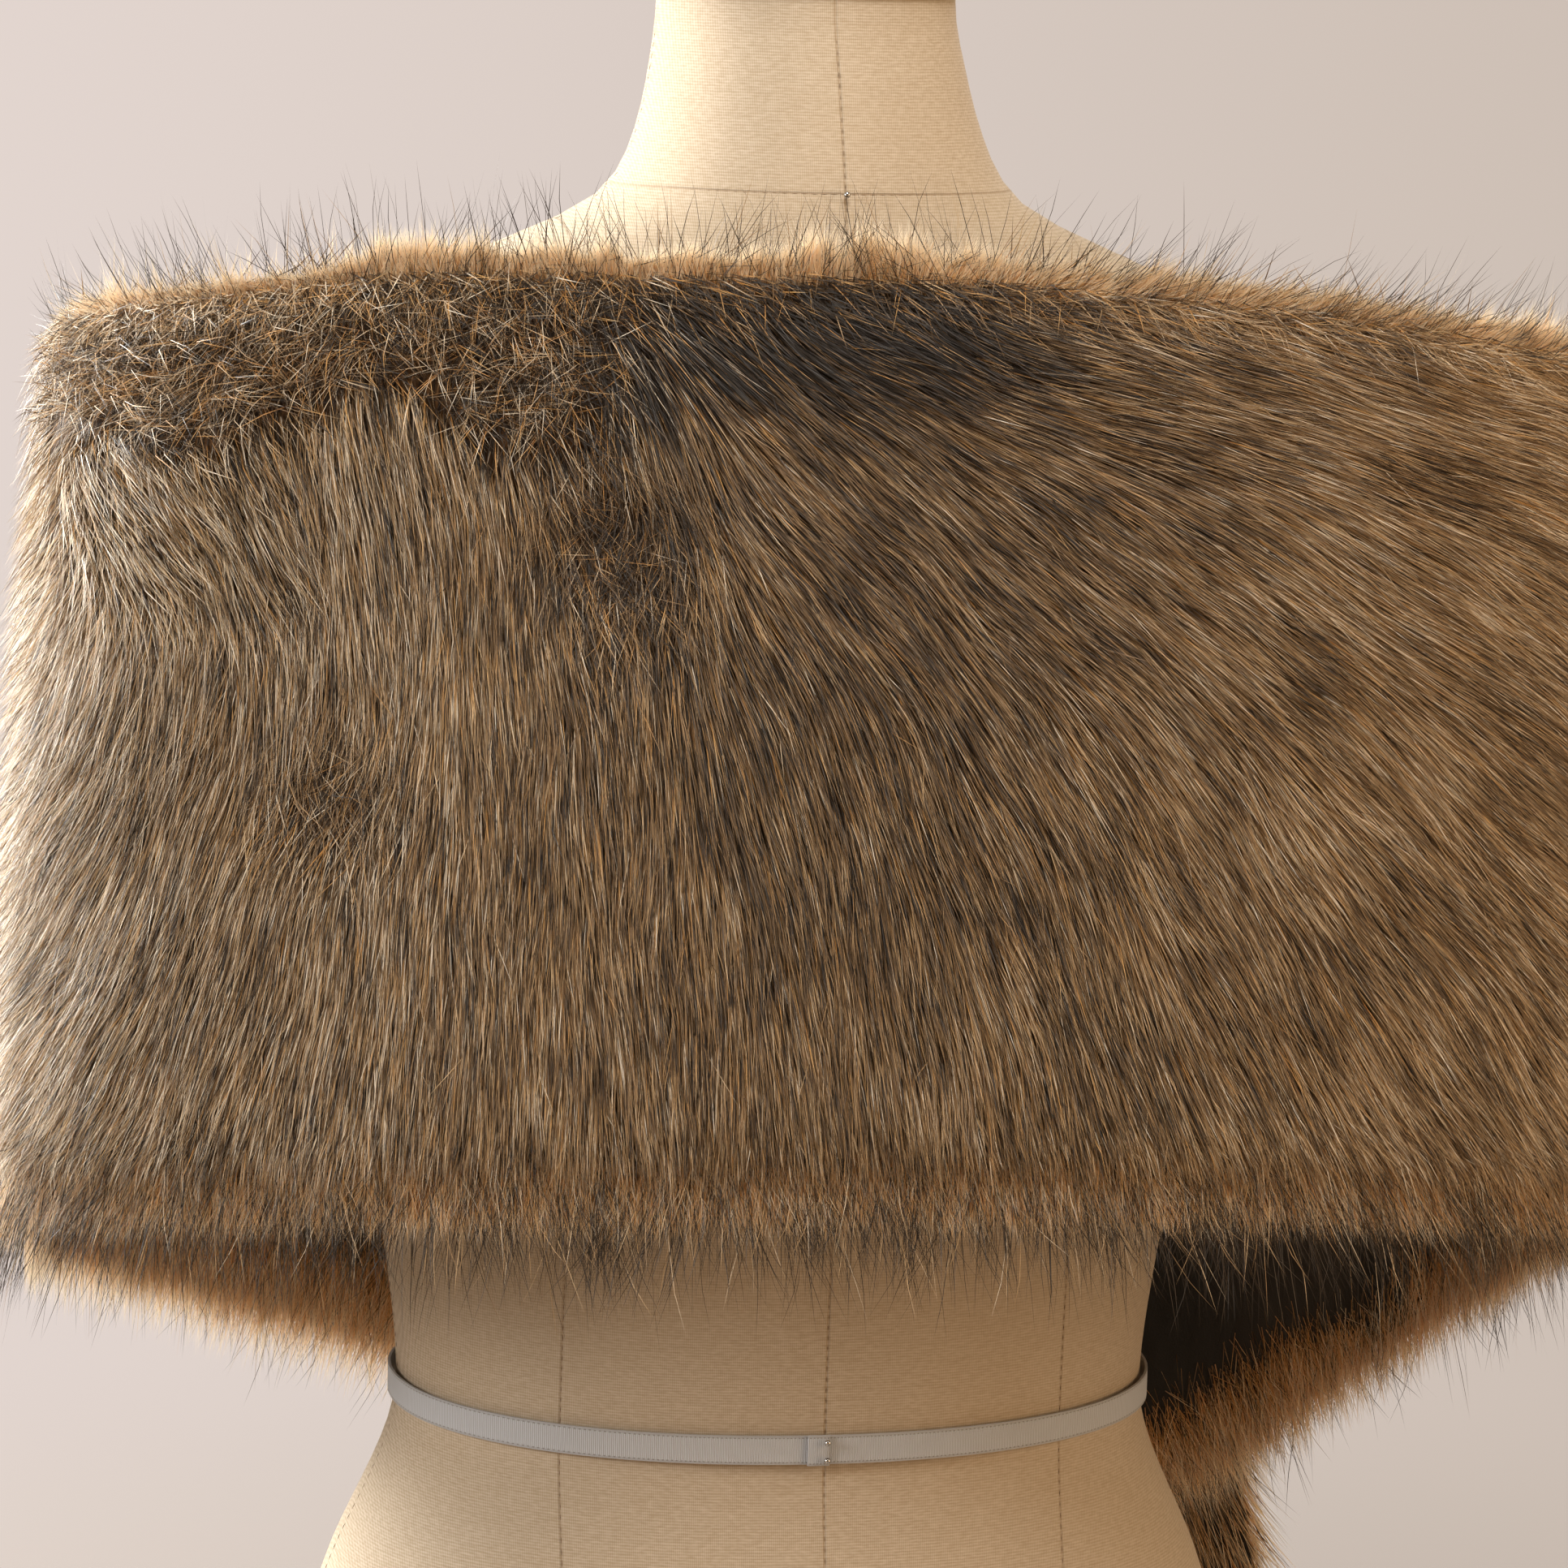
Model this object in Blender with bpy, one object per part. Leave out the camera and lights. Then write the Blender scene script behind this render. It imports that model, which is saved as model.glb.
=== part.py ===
"""Faux-fur stole wound round the shoulders of a limbless dress form.

Metres, +Z up. The form stands on Z = 0 and faces -Y, so its own left side is +X.
The stole is one straight strip. It runs along a guide line round the body in plan, on which a
place is its distance from the centre of the back: plus towards the form's left, minus towards
its right. Both ends cross on the chest, the right one over the left, and a tail hangs over it.
"""
import math
from bisect import bisect_right
from collections import namedtuple

import bmesh
import bpy
import numpy as np
from mathutils import Vector

# ---------------------------------------------------------------- driving sizes
SEAM_GAP = 0.0003            # between pieces that touch
LAYER_GAP = 0.0010           # between wound layers

PILE = 0.0160                # reach of the fur over its backing
PRESSED_PILE = 0.0100        # the same where another layer lies on it
PILE_EDGE = 0.020            # the pile rounds off within this of a cut edge
PILE_AT_EDGE = 0.40          # share of the pile left at the edge itself
LINING = 0.0012
UPPER_LAYER = 0.0140         # backing of the right stretch over that of the left one
TAIL_LAYER = 0.0370          # backing of the tail over that of the left stretch

GUIDE_LEFT = 0.234           # half widths and depths of the guide line in plan
GUIDE_RIGHT = 0.258
GUIDE_BACK = 0.116
GUIDE_FRONT = 0.131
GUIDE_SQUARENESS = 2.5
GUIDE_STEPS = 1440

BACK_HALF = 0.262            # the back stretch runs this far to each side
LEFT_END = 0.680
RIGHT_END = -0.680

ROLL_RISE = 0.0055           # the top edge rolls outward at the back's left
ROLL_MIDDLE = 0.150
ROLL_HALF = 0.120
ROLL_DEEP = 0.055
CREASE_FROM = (0.075, 0.30)  # place on the guide and share of the way down
CREASE_TO = (0.245, 0.70)
CREASE_DEPTH = 0.0035
CREASE_HALF = 0.018
STRIP_WIDTH = 0.275

NECK_TOP = 0.7105
BASE_HEIGHT = 0.012
BASE_INSET = 0.006
CAP_HEIGHT = 0.005
CAP_OVERHANG = 0.0012
WAIST = 0.270
TAPE_WIDTH = 0.009
TAPE_THICKNESS = 0.0008
TAPE_CLEAR = 0.0018
TAPE_END_LENGTH = 0.007
PIN_HEAD = 0.0011
NECK_SEAM = 0.6525

FORM_SEGMENTS = 40
FORM_RINGS = 30

# Level sections of the form: half width, the Y where it is widest, and its reach back and front.
Section = namedtuple("Section", "z half_width middle back front squareness")
FORM = [
    Section(0.0123, 0.1660, 0.000, 0.1160, 0.0960, 2.1),
    Section(0.0500, 0.1750, 0.000, 0.1220, 0.0990, 2.1),
    Section(0.0900, 0.1740, 0.000, 0.1220, 0.0990, 2.1),
    Section(0.1400, 0.1650, 0.000, 0.1180, 0.0970, 2.1),
    Section(0.2090, 0.1425, 0.000, 0.1050, 0.0910, 2.1),
    Section(0.2700, 0.1205, 0.000, 0.0930, 0.0830, 2.1),
    Section(0.3100, 0.1245, 0.000, 0.0940, 0.0860, 2.1),
    Section(0.3600, 0.1360, 0.000, 0.0980, 0.0980, 2.15),
    Section(0.4100, 0.1470, 0.000, 0.1030, 0.1160, 2.2),
    Section(0.4500, 0.1530, 0.002, 0.1060, 0.1220, 2.2),
    Section(0.5000, 0.1600, 0.004, 0.1075, 0.1120, 2.2),
    Section(0.5400, 0.1720, 0.006, 0.1050, 0.0940, 2.2),
    Section(0.5700, 0.1800, 0.008, 0.0995, 0.0780, 2.2),
    Section(0.5880, 0.1760, 0.010, 0.0940, 0.0670, 2.15),
    Section(0.6030, 0.1590, 0.012, 0.0895, 0.0590, 2.1),
    Section(0.6180, 0.1310, 0.014, 0.0850, 0.0520, 2.05),
    Section(0.6310, 0.1030, 0.016, 0.0805, 0.0460, 2.0),
    Section(0.6400, 0.0815, 0.017, 0.0775, 0.0420, 2.0),
    Section(0.6480, 0.0670, 0.016, 0.0745, 0.0400, 2.0),
    Section(0.6600, 0.0575, 0.014, 0.0700, 0.0395, 2.0),
    Section(0.6850, 0.0500, 0.008, 0.0590, 0.0410, 2.0),
    Section(NECK_TOP, 0.0465, 0.002, 0.0490, 0.0450, 2.0),
]

# The stole at places along the guide line: heights of its top and hem, how far its top runs on
# ahead of its hem, how far top and hem stand out from the guide, and the layer it lies in.
Station = namedtuple("Station", "place z_top z_hem slant top_out hem_out layer")
STOLE = [
    Station(-0.680, 0.428, 0.134, -0.130, -0.001, 0.002, UPPER_LAYER),
    Station(-0.620, 0.456, 0.158, -0.130, -0.001, 0.002, UPPER_LAYER),
    Station(-0.520, 0.508, 0.203, -0.110, -0.001, 0.004, UPPER_LAYER),
    Station(-0.460, 0.542, 0.240, -0.080, -0.002, 0.006, UPPER_LAYER),
    Station(-0.390, 0.576, 0.282, -0.040, -0.006, 0.008, 0.006),
    Station(-0.310, 0.598, 0.316, 0.000, -0.010, 0.008, 0.000),
    Station(-0.220, 0.610, 0.340, 0.000, -0.011, 0.009, 0.000),
    Station(-0.120, 0.623, 0.352, 0.000, -0.012, 0.010, 0.000),
    Station(0.000, 0.630, 0.356, 0.000, -0.012, 0.010, 0.000),
    Station(0.120, 0.629, 0.355, 0.000, -0.012, 0.009, 0.000),
    Station(0.220, 0.617, 0.346, 0.000, -0.010, 0.008, 0.000),
    Station(0.300, 0.606, 0.328, 0.000, -0.009, 0.006, 0.000),
    Station(0.390, 0.586, 0.302, 0.030, -0.004, 0.004, 0.000),
    Station(0.500, 0.550, 0.268, 0.070, -0.001, 0.001, 0.000),
    Station(0.610, 0.514, 0.236, 0.090, 0.000, 0.000, 0.000),
    Station(0.680, 0.488, 0.212, 0.090, 0.000, 0.000, 0.000),
]

# The tail from its gathered top to its cut end: its middle on the guide line and half its width.
Drop = namedtuple("Drop", "down z middle half_width pile")
TAIL = [
    Drop(0.00, 0.345, -0.522, 0.032, 0.0110),
    Drop(0.20, 0.292, -0.521, 0.046, 0.0150),
    Drop(0.50, 0.212, -0.518, 0.062, 0.0160),
    Drop(0.80, 0.130, -0.516, 0.072, 0.0160),
    Drop(1.00, 0.075, -0.515, 0.075, 0.0120),
]


# ---------------------------------------------------------------- shapes as functions
def between(rows, at):
    """The row at a value of the first column, on monotone cubics through the table's rows."""
    keys = [row[0] for row in rows]
    i = min(max(bisect_right(keys, at) - 1, 0), len(rows) - 2)
    span = keys[i + 1] - keys[i]
    t = min(max((at - keys[i]) / span, 0.0), 1.0)

    def slope(column, k):
        if k == 0 or k == len(rows) - 1:
            return 0.0
        before = (rows[k][column] - rows[k - 1][column]) / (keys[k] - keys[k - 1])
        after = (rows[k + 1][column] - rows[k][column]) / (keys[k + 1] - keys[k])
        return 2 * before * after / (before + after) if before * after > 0 else 0.0

    values = []
    for column in range(1, len(rows[0])):
        low, high = rows[i][column], rows[i + 1][column]
        values.append(
            low * (1 + 2 * t) * (1 - t) ** 2
            + high * t * t * (3 - 2 * t)
            + span * slope(column, i) * t * (1 - t) ** 2
            - span * slope(column, i + 1) * t * t * (1 - t)
        )
    return type(rows[0])(at, *values)


def squared(value, squareness):
    """A sine or cosine bent so that a circle becomes a rounded rectangle."""
    return math.copysign(abs(value) ** (2 / squareness), value)


def form_point(z, turn, outset=0.0):
    """A place on the form's level section at z; turn 0 is its left side, a quarter its back."""
    row = between(FORM, z)
    across = squared(math.cos(turn), row.squareness)
    along = squared(math.sin(turn), row.squareness)
    reach = row.back - row.middle if along > 0 else row.front + row.middle
    return Vector(((row.half_width + outset) * across, row.middle + (reach + outset) * along, z))


def guide_line():
    """The guide line's places, X and Y, from past the left end round the back past the right."""
    turns = np.linspace(1.5 * math.pi + 1.4, -0.5 * math.pi - 1.4, GUIDE_STEPS)
    power = 2 / GUIDE_SQUARENESS
    cosine, sine = np.cos(turns), np.sin(turns)
    x = np.sign(cosine) * np.abs(cosine) ** power
    y = np.sign(sine) * np.abs(sine) ** power
    x *= np.where(cosine > 0, GUIDE_LEFT, GUIDE_RIGHT)
    y *= np.where(sine > 0, GUIDE_BACK, GUIDE_FRONT)
    steps = np.hypot(np.diff(x), np.diff(y))
    place = np.concatenate([[0.0], np.cumsum(steps)])
    middle = np.interp(0.0, -(turns - 0.5 * math.pi), place)
    return place - middle, x, y


GUIDE = guide_line()


def on_guide(place, z, outward):
    """A point beside the guide line, that far outward from it."""
    nearby = 0.004
    x, y = (np.interp(place, GUIDE[0], axis) for axis in GUIDE[1:])
    ahead = [np.interp(place + nearby, GUIDE[0], axis) for axis in GUIDE[1:]]
    behind = [np.interp(place - nearby, GUIDE[0], axis) for axis in GUIDE[1:]]
    along = Vector((ahead[0] - behind[0], ahead[1] - behind[1])).normalized()
    return Vector((x - along.y * outward, y + along.x * outward, z))


def backing(place, down):
    """The stole's backing at a place and a share of the way from its top to its hem."""
    row = between(STOLE, place)
    z = row.z_top + (row.z_hem - row.z_top) * down
    outward = row.layer + row.top_out * (1 - down) ** 2 + row.hem_out * down ** 2
    return on_guide(place + row.slant * (0.5 - down), z, outward)


def tail_backing(side, down):
    """The tail's backing; side runs from -1 at its inner edge to 1 at the outer one."""
    row = between(TAIL, down)
    return on_guide(row.middle + row.half_width * side, row.z, TAIL_LAYER)


def raised(surface, a, b, height):
    """A point of a surface moved out along its normal."""
    step = 0.002
    along = surface(a + step, b) - surface(a - step, b)
    across = surface(a, b + step) - surface(a, b - step)
    return surface(a, b) + along.cross(across).normalized() * height


def rounded(distance):
    """The share of the pile's full height at a distance from a cut edge."""
    near = min(max(distance / PILE_EDGE, 0.0), 1.0)
    return PILE_AT_EDGE + (1 - PILE_AT_EDGE) * math.sqrt(1 - (1 - near) ** 2)


def hump(value, middle, half):
    """1 at the middle and 0 from half away, with soft feet."""
    reach = min(abs(value - middle) / half, 1.0)
    return (1 - reach * reach) ** 2


def eased(value):
    value = min(max(value, 0.0), 1.0)
    return value * value * (3 - 2 * value)


def crease(place, down):
    """How far the pile sinks along the slanting crease across the left of the back."""
    start = Vector((CREASE_FROM[0], CREASE_FROM[1] * STRIP_WIDTH))
    run = Vector((CREASE_TO[0], CREASE_TO[1] * STRIP_WIDTH)) - start
    here = Vector((place, down * STRIP_WIDTH)) - start
    share = min(max(here.dot(run) / run.length_squared, 0.0), 1.0)
    return CREASE_DEPTH * math.exp(-(((here - run * share).length / CREASE_HALF) ** 2))


def pile(place, down):
    """The height of the fur over the backing."""
    under = eased((place - 0.43) / 0.06)
    height = PILE + (PRESSED_PILE - PILE) * under
    height += ROLL_RISE * hump(place, ROLL_MIDDLE, ROLL_HALF) * hump(
        down * STRIP_WIDTH, ROLL_DEEP / 2, ROLL_DEEP
    )
    to_edge = min(down, 1 - down) * STRIP_WIDTH
    to_end = min(LEFT_END - place, place - RIGHT_END)
    return (height - crease(place, down)) * rounded(to_edge) * rounded(to_end)


def tail_pile(side, down):
    row = between(TAIL, down)
    return row.pile * rounded((1 - abs(side)) * row.half_width)


# ---------------------------------------------------------------- making objects
def material(name, colour, roughness, metallic=0.0):
    made = bpy.data.materials.new(name)
    made.use_nodes = True
    shader = made.node_tree.nodes["Principled BSDF"]
    shader.inputs["Base Color"].default_value = (*colour, 1.0)
    shader.inputs["Roughness"].default_value = roughness
    shader.inputs["Metallic"].default_value = metallic
    return made


def finished(name, shape, look, smooth=True):
    """Turns a bmesh into a named object of the part."""
    bmesh.ops.recalc_face_normals(shape, faces=shape.faces[:])
    mesh = bpy.data.meshes.new(name)
    shape.to_mesh(mesh)
    shape.free()
    mesh.materials.append(look)
    if smooth:
        mesh.shade_smooth()
        mesh.set_sharp_from_angle(angle=math.radians(50))
    made = bpy.data.objects.new(name, mesh)
    collection.objects.link(made)
    return made


def barrel(name, look, segments, rings, place):
    """A capped tube whose points are placed by place(turn, share of the way up)."""
    shape = bmesh.new()
    bmesh.ops.create_cone(shape, cap_ends=True, segments=segments, radius1=1, radius2=1, depth=1)
    upright = [e for e in shape.edges if abs(e.verts[0].co.z - e.verts[1].co.z) > 0.5]
    if rings > 1:
        bmesh.ops.subdivide_edges(shape, edges=upright, cuts=rings - 1)
    for point in shape.verts:
        point.co = place(math.atan2(point.co.y, point.co.x), point.co.z + 0.5)
    return finished(name, shape, look)


def wall(name, look, columns, rows, inner, outer):
    """A closed wall between two sheets; each is a function of shares across and down."""
    shape = bmesh.new()
    bmesh.ops.create_grid(shape, x_segments=columns, y_segments=rows, size=0.5)
    raise_up = bmesh.ops.extrude_face_region(shape, geom=shape.faces[:], use_keep_orig=True)
    upper = {item for item in raise_up["geom"] if isinstance(item, bmesh.types.BMVert)}
    for point in shape.verts:
        sheet = outer if point in upper else inner
        point.co = sheet(point.co.x + 0.5, 0.5 - point.co.y)
    return finished(name, shape, look)


def stretch(name, start, end, columns):
    """One stretch of the stole, its fur and its lining, with half a seam gap off each end."""
    start, end = start + SEAM_GAP / 2, end - SEAM_GAP / 2

    def at(share):
        return start + (end - start) * share

    def sheet(height):
        return lambda across, down: raised(backing, at(across), down, height)

    def fur_face(across, down):
        return raised(backing, at(across), down, pile(at(across), down))

    wall("fur_" + name, looks["fur"], columns, STRIP_ROWS, sheet(0.0), fur_face)
    wall(
        "lining_" + name, looks["lining"], columns, STRIP_ROWS,
        sheet(-SEAM_GAP - LINING), sheet(-SEAM_GAP),
    )


def tail():
    """The end that hangs down at the form's right front."""
    def sheet(height):
        return lambda across, down: raised(tail_backing, 2 * across - 1, down, height)

    def fur_face(across, down):
        side = 2 * across - 1
        return raised(tail_backing, side, down, tail_pile(side, down))

    wall("fur_tail", looks["fur"], 10, 12, sheet(0.0), fur_face)
    wall("lining_tail", looks["lining"], 10, 12, sheet(-SEAM_GAP - LINING), sheet(-SEAM_GAP))


def torso():
    bottom, top = FORM[0].z, FORM[-1].z
    barrel(
        "form_torso", looks["linen"], FORM_SEGMENTS, FORM_RINGS,
        lambda turn, up: form_point(bottom + (top - bottom) * up, turn),
    )
    barrel(
        "form_base", looks["board"], FORM_SEGMENTS, 1,
        lambda turn, up: form_point(FORM[0].z, turn, -BASE_INSET) * FLAT
        + Vector((0, 0, BASE_HEIGHT * up)),
    )
    barrel(
        "form_neck_cap", looks["cap"], FORM_SEGMENTS, 1,
        lambda turn, up: form_point(NECK_TOP, turn, CAP_OVERHANG) * FLAT
        + Vector((0, 0, NECK_TOP + SEAM_GAP + CAP_HEIGHT * up)),
    )


def tape():
    """The waist tape, a band round the form, with its pinned end lapped over it at the back."""
    low = WAIST - TAPE_WIDTH / 2
    shape = bmesh.new()
    bmesh.ops.create_cone(
        shape, cap_ends=False, segments=FORM_SEGMENTS, radius1=1, radius2=1, depth=1
    )
    raise_up = bmesh.ops.extrude_face_region(shape, geom=shape.faces[:], use_keep_orig=True)
    upper = {item for item in raise_up["geom"] if isinstance(item, bmesh.types.BMVert)}
    for point in shape.verts:
        turn = math.atan2(point.co.y, point.co.x)
        outset = TAPE_CLEAR + (TAPE_THICKNESS if point in upper else 0.0)
        point.co = form_point(WAIST, turn, outset) * FLAT + Vector(
            (0, 0, low + TAPE_WIDTH * (point.co.z + 0.5))
        )
    finished("waist_tape", shape, looks["tape"])

    lap = bmesh.new()
    bmesh.ops.create_cube(lap, size=1.0)
    back = form_point(WAIST, math.pi / 2, TAPE_CLEAR + TAPE_THICKNESS + SEAM_GAP).y
    for point in lap.verts:
        point.co.x = TAPE_END_LENGTH * (point.co.x + 0.35)
        point.co.y = back + TAPE_THICKNESS * (point.co.y + 0.5)
        point.co.z = WAIST + (TAPE_WIDTH + 0.0006) * point.co.z
    finished("waist_tape_end", lap, looks["tape"], smooth=False)

    face = back + TAPE_THICKNESS + SEAM_GAP + PIN_HEAD
    for name, z in (("lower", WAIST - 0.0028), ("upper", WAIST + 0.0028)):
        pin("pin_tape_" + name, Vector((0.0, face, z)))
    neck = form_point(NECK_SEAM, math.pi / 2)
    pin("pin_neck", neck + Vector((0, SEAM_GAP + 1.6 * PIN_HEAD, 0)))


def pin(name, place):
    shape = bmesh.new()
    bmesh.ops.create_uvsphere(shape, u_segments=10, v_segments=6, radius=PIN_HEAD)
    bmesh.ops.translate(shape, verts=shape.verts[:], vec=place)
    finished(name, shape, looks["pin"])


FLAT = Vector((1, 1, 0))
STRIP_ROWS = 10

for old in list(bpy.data.objects):
    bpy.data.objects.remove(old)
collection = bpy.data.collections.new("fur_wrap_on_dress_form")
bpy.context.scene.collection.children.link(collection)
looks = {
    "fur": material("fur", (0.19, 0.125, 0.065), 0.75),
    "lining": material("lining", (0.012, 0.010, 0.009), 0.45),
    "linen": material("linen", (0.62, 0.50, 0.35), 0.85),
    "board": material("board", (0.42, 0.29, 0.17), 0.60),
    "cap": material("cap", (0.03, 0.025, 0.022), 0.50),
    "tape": material("tape", (0.72, 0.71, 0.69), 0.70),
    "pin": material("pin", (0.60, 0.60, 0.60), 0.25, 1.0),
}
torso()
tape()
stretch("back", -BACK_HALF, BACK_HALF, 26)
stretch("left", BACK_HALF, LEFT_END, 22)
stretch("right", RIGHT_END, -BACK_HALF, 22)
tail()
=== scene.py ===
"""Faux-fur stole wound round the shoulders of a limbless dress form.

Metres, +Z up. The form stands on Z = 0 and faces -Y, so its own left side is +X.
A place on the stole is its distance along a guide line from the centre of the back, plus towards
the form's left, and down is the share of the way from its top edge to its hem.
"""

import math
from collections import namedtuple

import bpy
import numpy as np
from bpy.props import (
    FloatProperty, FloatVectorProperty, IntProperty, PointerProperty,
)
from mathutils import Matrix, Vector


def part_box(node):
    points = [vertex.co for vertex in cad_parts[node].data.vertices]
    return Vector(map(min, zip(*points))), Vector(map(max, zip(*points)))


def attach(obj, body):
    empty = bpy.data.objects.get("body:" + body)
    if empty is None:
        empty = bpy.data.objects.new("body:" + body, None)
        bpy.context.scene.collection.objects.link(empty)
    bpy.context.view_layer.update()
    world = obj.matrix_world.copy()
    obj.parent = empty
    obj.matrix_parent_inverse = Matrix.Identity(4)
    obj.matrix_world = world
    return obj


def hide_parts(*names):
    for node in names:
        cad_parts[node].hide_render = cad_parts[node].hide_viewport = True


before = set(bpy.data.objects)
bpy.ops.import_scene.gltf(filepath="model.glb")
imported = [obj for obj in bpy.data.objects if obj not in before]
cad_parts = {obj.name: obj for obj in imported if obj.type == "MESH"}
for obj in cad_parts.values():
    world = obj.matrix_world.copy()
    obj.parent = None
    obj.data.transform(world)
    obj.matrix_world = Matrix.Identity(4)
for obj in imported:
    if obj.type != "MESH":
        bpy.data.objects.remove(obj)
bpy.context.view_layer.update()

bl_info = {
    "name": "Fur wrap on dress form",
    "version": (1, 0, 0),
    "blender": (4, 5, 0),
    "location": "View3D > Sidebar > Fur wrap",
    "description": "Makes a faux-fur stole, strand by strand, and the dress form under it",
    "category": "Add Mesh",
}

# ---------------------------------------------------------------- the part's own sizes
SEAM_GAP = 0.0003
PILE = 0.0160
PRESSED_PILE = 0.0100
PILE_EDGE = 0.020
PILE_AT_EDGE = 0.40
LINING = 0.0012
UPPER_LAYER = 0.0140
TAIL_LAYER = 0.0370
GUIDE_LEFT = 0.234
GUIDE_RIGHT = 0.258
GUIDE_BACK = 0.116
GUIDE_FRONT = 0.131
GUIDE_SQUARENESS = 2.5
GUIDE_STEPS = 1440
BACK_HALF = 0.262
LEFT_END = 0.680
RIGHT_END = -0.680
ROLL_RISE = 0.0055
ROLL_MIDDLE = 0.150
ROLL_HALF = 0.120
ROLL_DEEP = 0.055
SIDE_RISE = 0.0035
CREASE_FROM = (0.075, 0.30)
CREASE_TO = (0.245, 0.70)
CREASE_DEPTH = 0.0035
CREASE_HALF = 0.018
STRIP_WIDTH = 0.275
NECK_TOP = 0.7105
FLOOR_RADIUS = 1.15
BASE_HEIGHT = 0.012
BASE_INSET = 0.006
CAP_HEIGHT = 0.005
CAP_OVERHANG = 0.0012
WAIST = 0.270
TAPE_WIDTH = 0.009
TAPE_THICKNESS = 0.0008
TAPE_CLEAR = 0.0018
NECK_SEAM = 0.6525
NECK_DIP_FROM, NECK_DIP = 0.015, 0.35        # the neck seam drops by that share of each y short
NECK_ROUND = 0.43            # the neck seam's length
PRINCESS = 0.079             # how far the princess seams lie from the centre ones
SEAM_FROM, SEAM_TO, CHEST_TOP = 0.020, 0.702, 0.62       # heights where the seams begin and end
STITCH_HALF, STITCH_PROUD, STITCH_SUNK = 0.00019, 0.00018, 0.0003
WEFT, WARP, THREAD_WANDER = 0.00088, 0.00062, 0.00025    # the linen's pitches and their unevenness
TAPE_RIB, TAPE_STITCH = 0.00064, 0.0016
PRESSED_FROM, PRESSED_OVER = 0.43, 0.06      # past this place the left end is pressed by the right
SIDE_SPREAD, SIDE_FROM, SIDE_OVER = 0.05, 0.22, 0.15
COMB_WIDE, COMB_DEEP = 0.055, 0.17           # how far an entry of the comb table reaches
LEAST_PER_SIDE, LEAST_PER_DOWN = 0.02, 0.20  # floors of the metres in a step, where rows crowd
AIM = (0.0, 0.03, 0.45)      # what the lamps point at

# Level sections of the form: z, half width, the Y where it is widest, reach back and front,
# and how square it is.
FORM = [
    (0.0123, 0.1660, 0.000, 0.1160, 0.0960, 2.1),
    (0.0500, 0.1750, 0.000, 0.1220, 0.0990, 2.1),
    (0.0900, 0.1740, 0.000, 0.1220, 0.0990, 2.1),
    (0.1400, 0.1650, 0.000, 0.1180, 0.0970, 2.1),
    (0.2090, 0.1425, 0.000, 0.1050, 0.0910, 2.1),
    (0.2700, 0.1205, 0.000, 0.0930, 0.0830, 2.1),
    (0.3100, 0.1245, 0.000, 0.0940, 0.0860, 2.1),
    (0.3600, 0.1360, 0.000, 0.0980, 0.0980, 2.15),
    (0.4100, 0.1470, 0.000, 0.1030, 0.1160, 2.2),
    (0.4500, 0.1530, 0.002, 0.1060, 0.1220, 2.2),
    (0.5000, 0.1600, 0.004, 0.1075, 0.1120, 2.2),
    (0.5400, 0.1720, 0.006, 0.1050, 0.0940, 2.2),
    (0.5700, 0.1800, 0.008, 0.0995, 0.0780, 2.2),
    (0.5880, 0.1760, 0.010, 0.0940, 0.0670, 2.15),
    (0.6030, 0.1590, 0.012, 0.0895, 0.0590, 2.1),
    (0.6180, 0.1310, 0.014, 0.0850, 0.0520, 2.05),
    (0.6310, 0.1030, 0.016, 0.0805, 0.0460, 2.0),
    (0.6400, 0.0815, 0.017, 0.0775, 0.0420, 2.0),
    (0.6480, 0.0670, 0.016, 0.0745, 0.0400, 2.0),
    (0.6600, 0.0575, 0.014, 0.0700, 0.0395, 2.0),
    (0.6850, 0.0500, 0.008, 0.0590, 0.0410, 2.0),
    (NECK_TOP, 0.0465, 0.002, 0.0490, 0.0450, 2.0),
]

# The stole along the guide line: place, heights of its top and hem, how far its top runs on
# ahead of its hem, how far top and hem stand out from the guide, and the layer it lies in.
STOLE = [
    (-0.680, 0.428, 0.134, -0.130, -0.001, 0.002, UPPER_LAYER),
    (-0.620, 0.456, 0.158, -0.130, -0.001, 0.002, UPPER_LAYER),
    (-0.520, 0.508, 0.203, -0.110, -0.001, 0.004, UPPER_LAYER),
    (-0.460, 0.542, 0.240, -0.080, -0.002, 0.006, UPPER_LAYER),
    (-0.390, 0.576, 0.282, -0.040, -0.006, 0.008, 0.006),
    (-0.310, 0.598, 0.316, 0.000, -0.010, 0.008, 0.000),
    (-0.220, 0.610, 0.340, 0.000, -0.011, 0.009, 0.000),
    (-0.120, 0.623, 0.352, 0.000, -0.012, 0.010, 0.000),
    (0.000, 0.630, 0.356, 0.000, -0.012, 0.010, 0.000),
    (0.120, 0.629, 0.355, 0.000, -0.012, 0.009, 0.000),
    (0.220, 0.617, 0.346, 0.000, -0.010, 0.008, 0.000),
    (0.300, 0.606, 0.328, 0.000, -0.009, 0.006, 0.000),
    (0.390, 0.586, 0.302, 0.030, -0.004, 0.004, 0.000),
    (0.500, 0.550, 0.268, 0.070, -0.001, 0.001, 0.000),
    (0.610, 0.514, 0.236, 0.090, 0.000, 0.000, 0.000),
    (0.680, 0.488, 0.212, 0.090, 0.000, 0.000, 0.000),
]

# The tail: down, z, its middle on the guide line, half its width, and its pile.
TAIL = [
    (0.00, 0.345, -0.522, 0.032, 0.0110),
    (0.20, 0.292, -0.521, 0.046, 0.0150),
    (0.50, 0.212, -0.518, 0.062, 0.0160),
    (0.80, 0.130, -0.516, 0.072, 0.0160),
    (1.00, 0.075, -0.515, 0.075, 0.0120),
]

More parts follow.
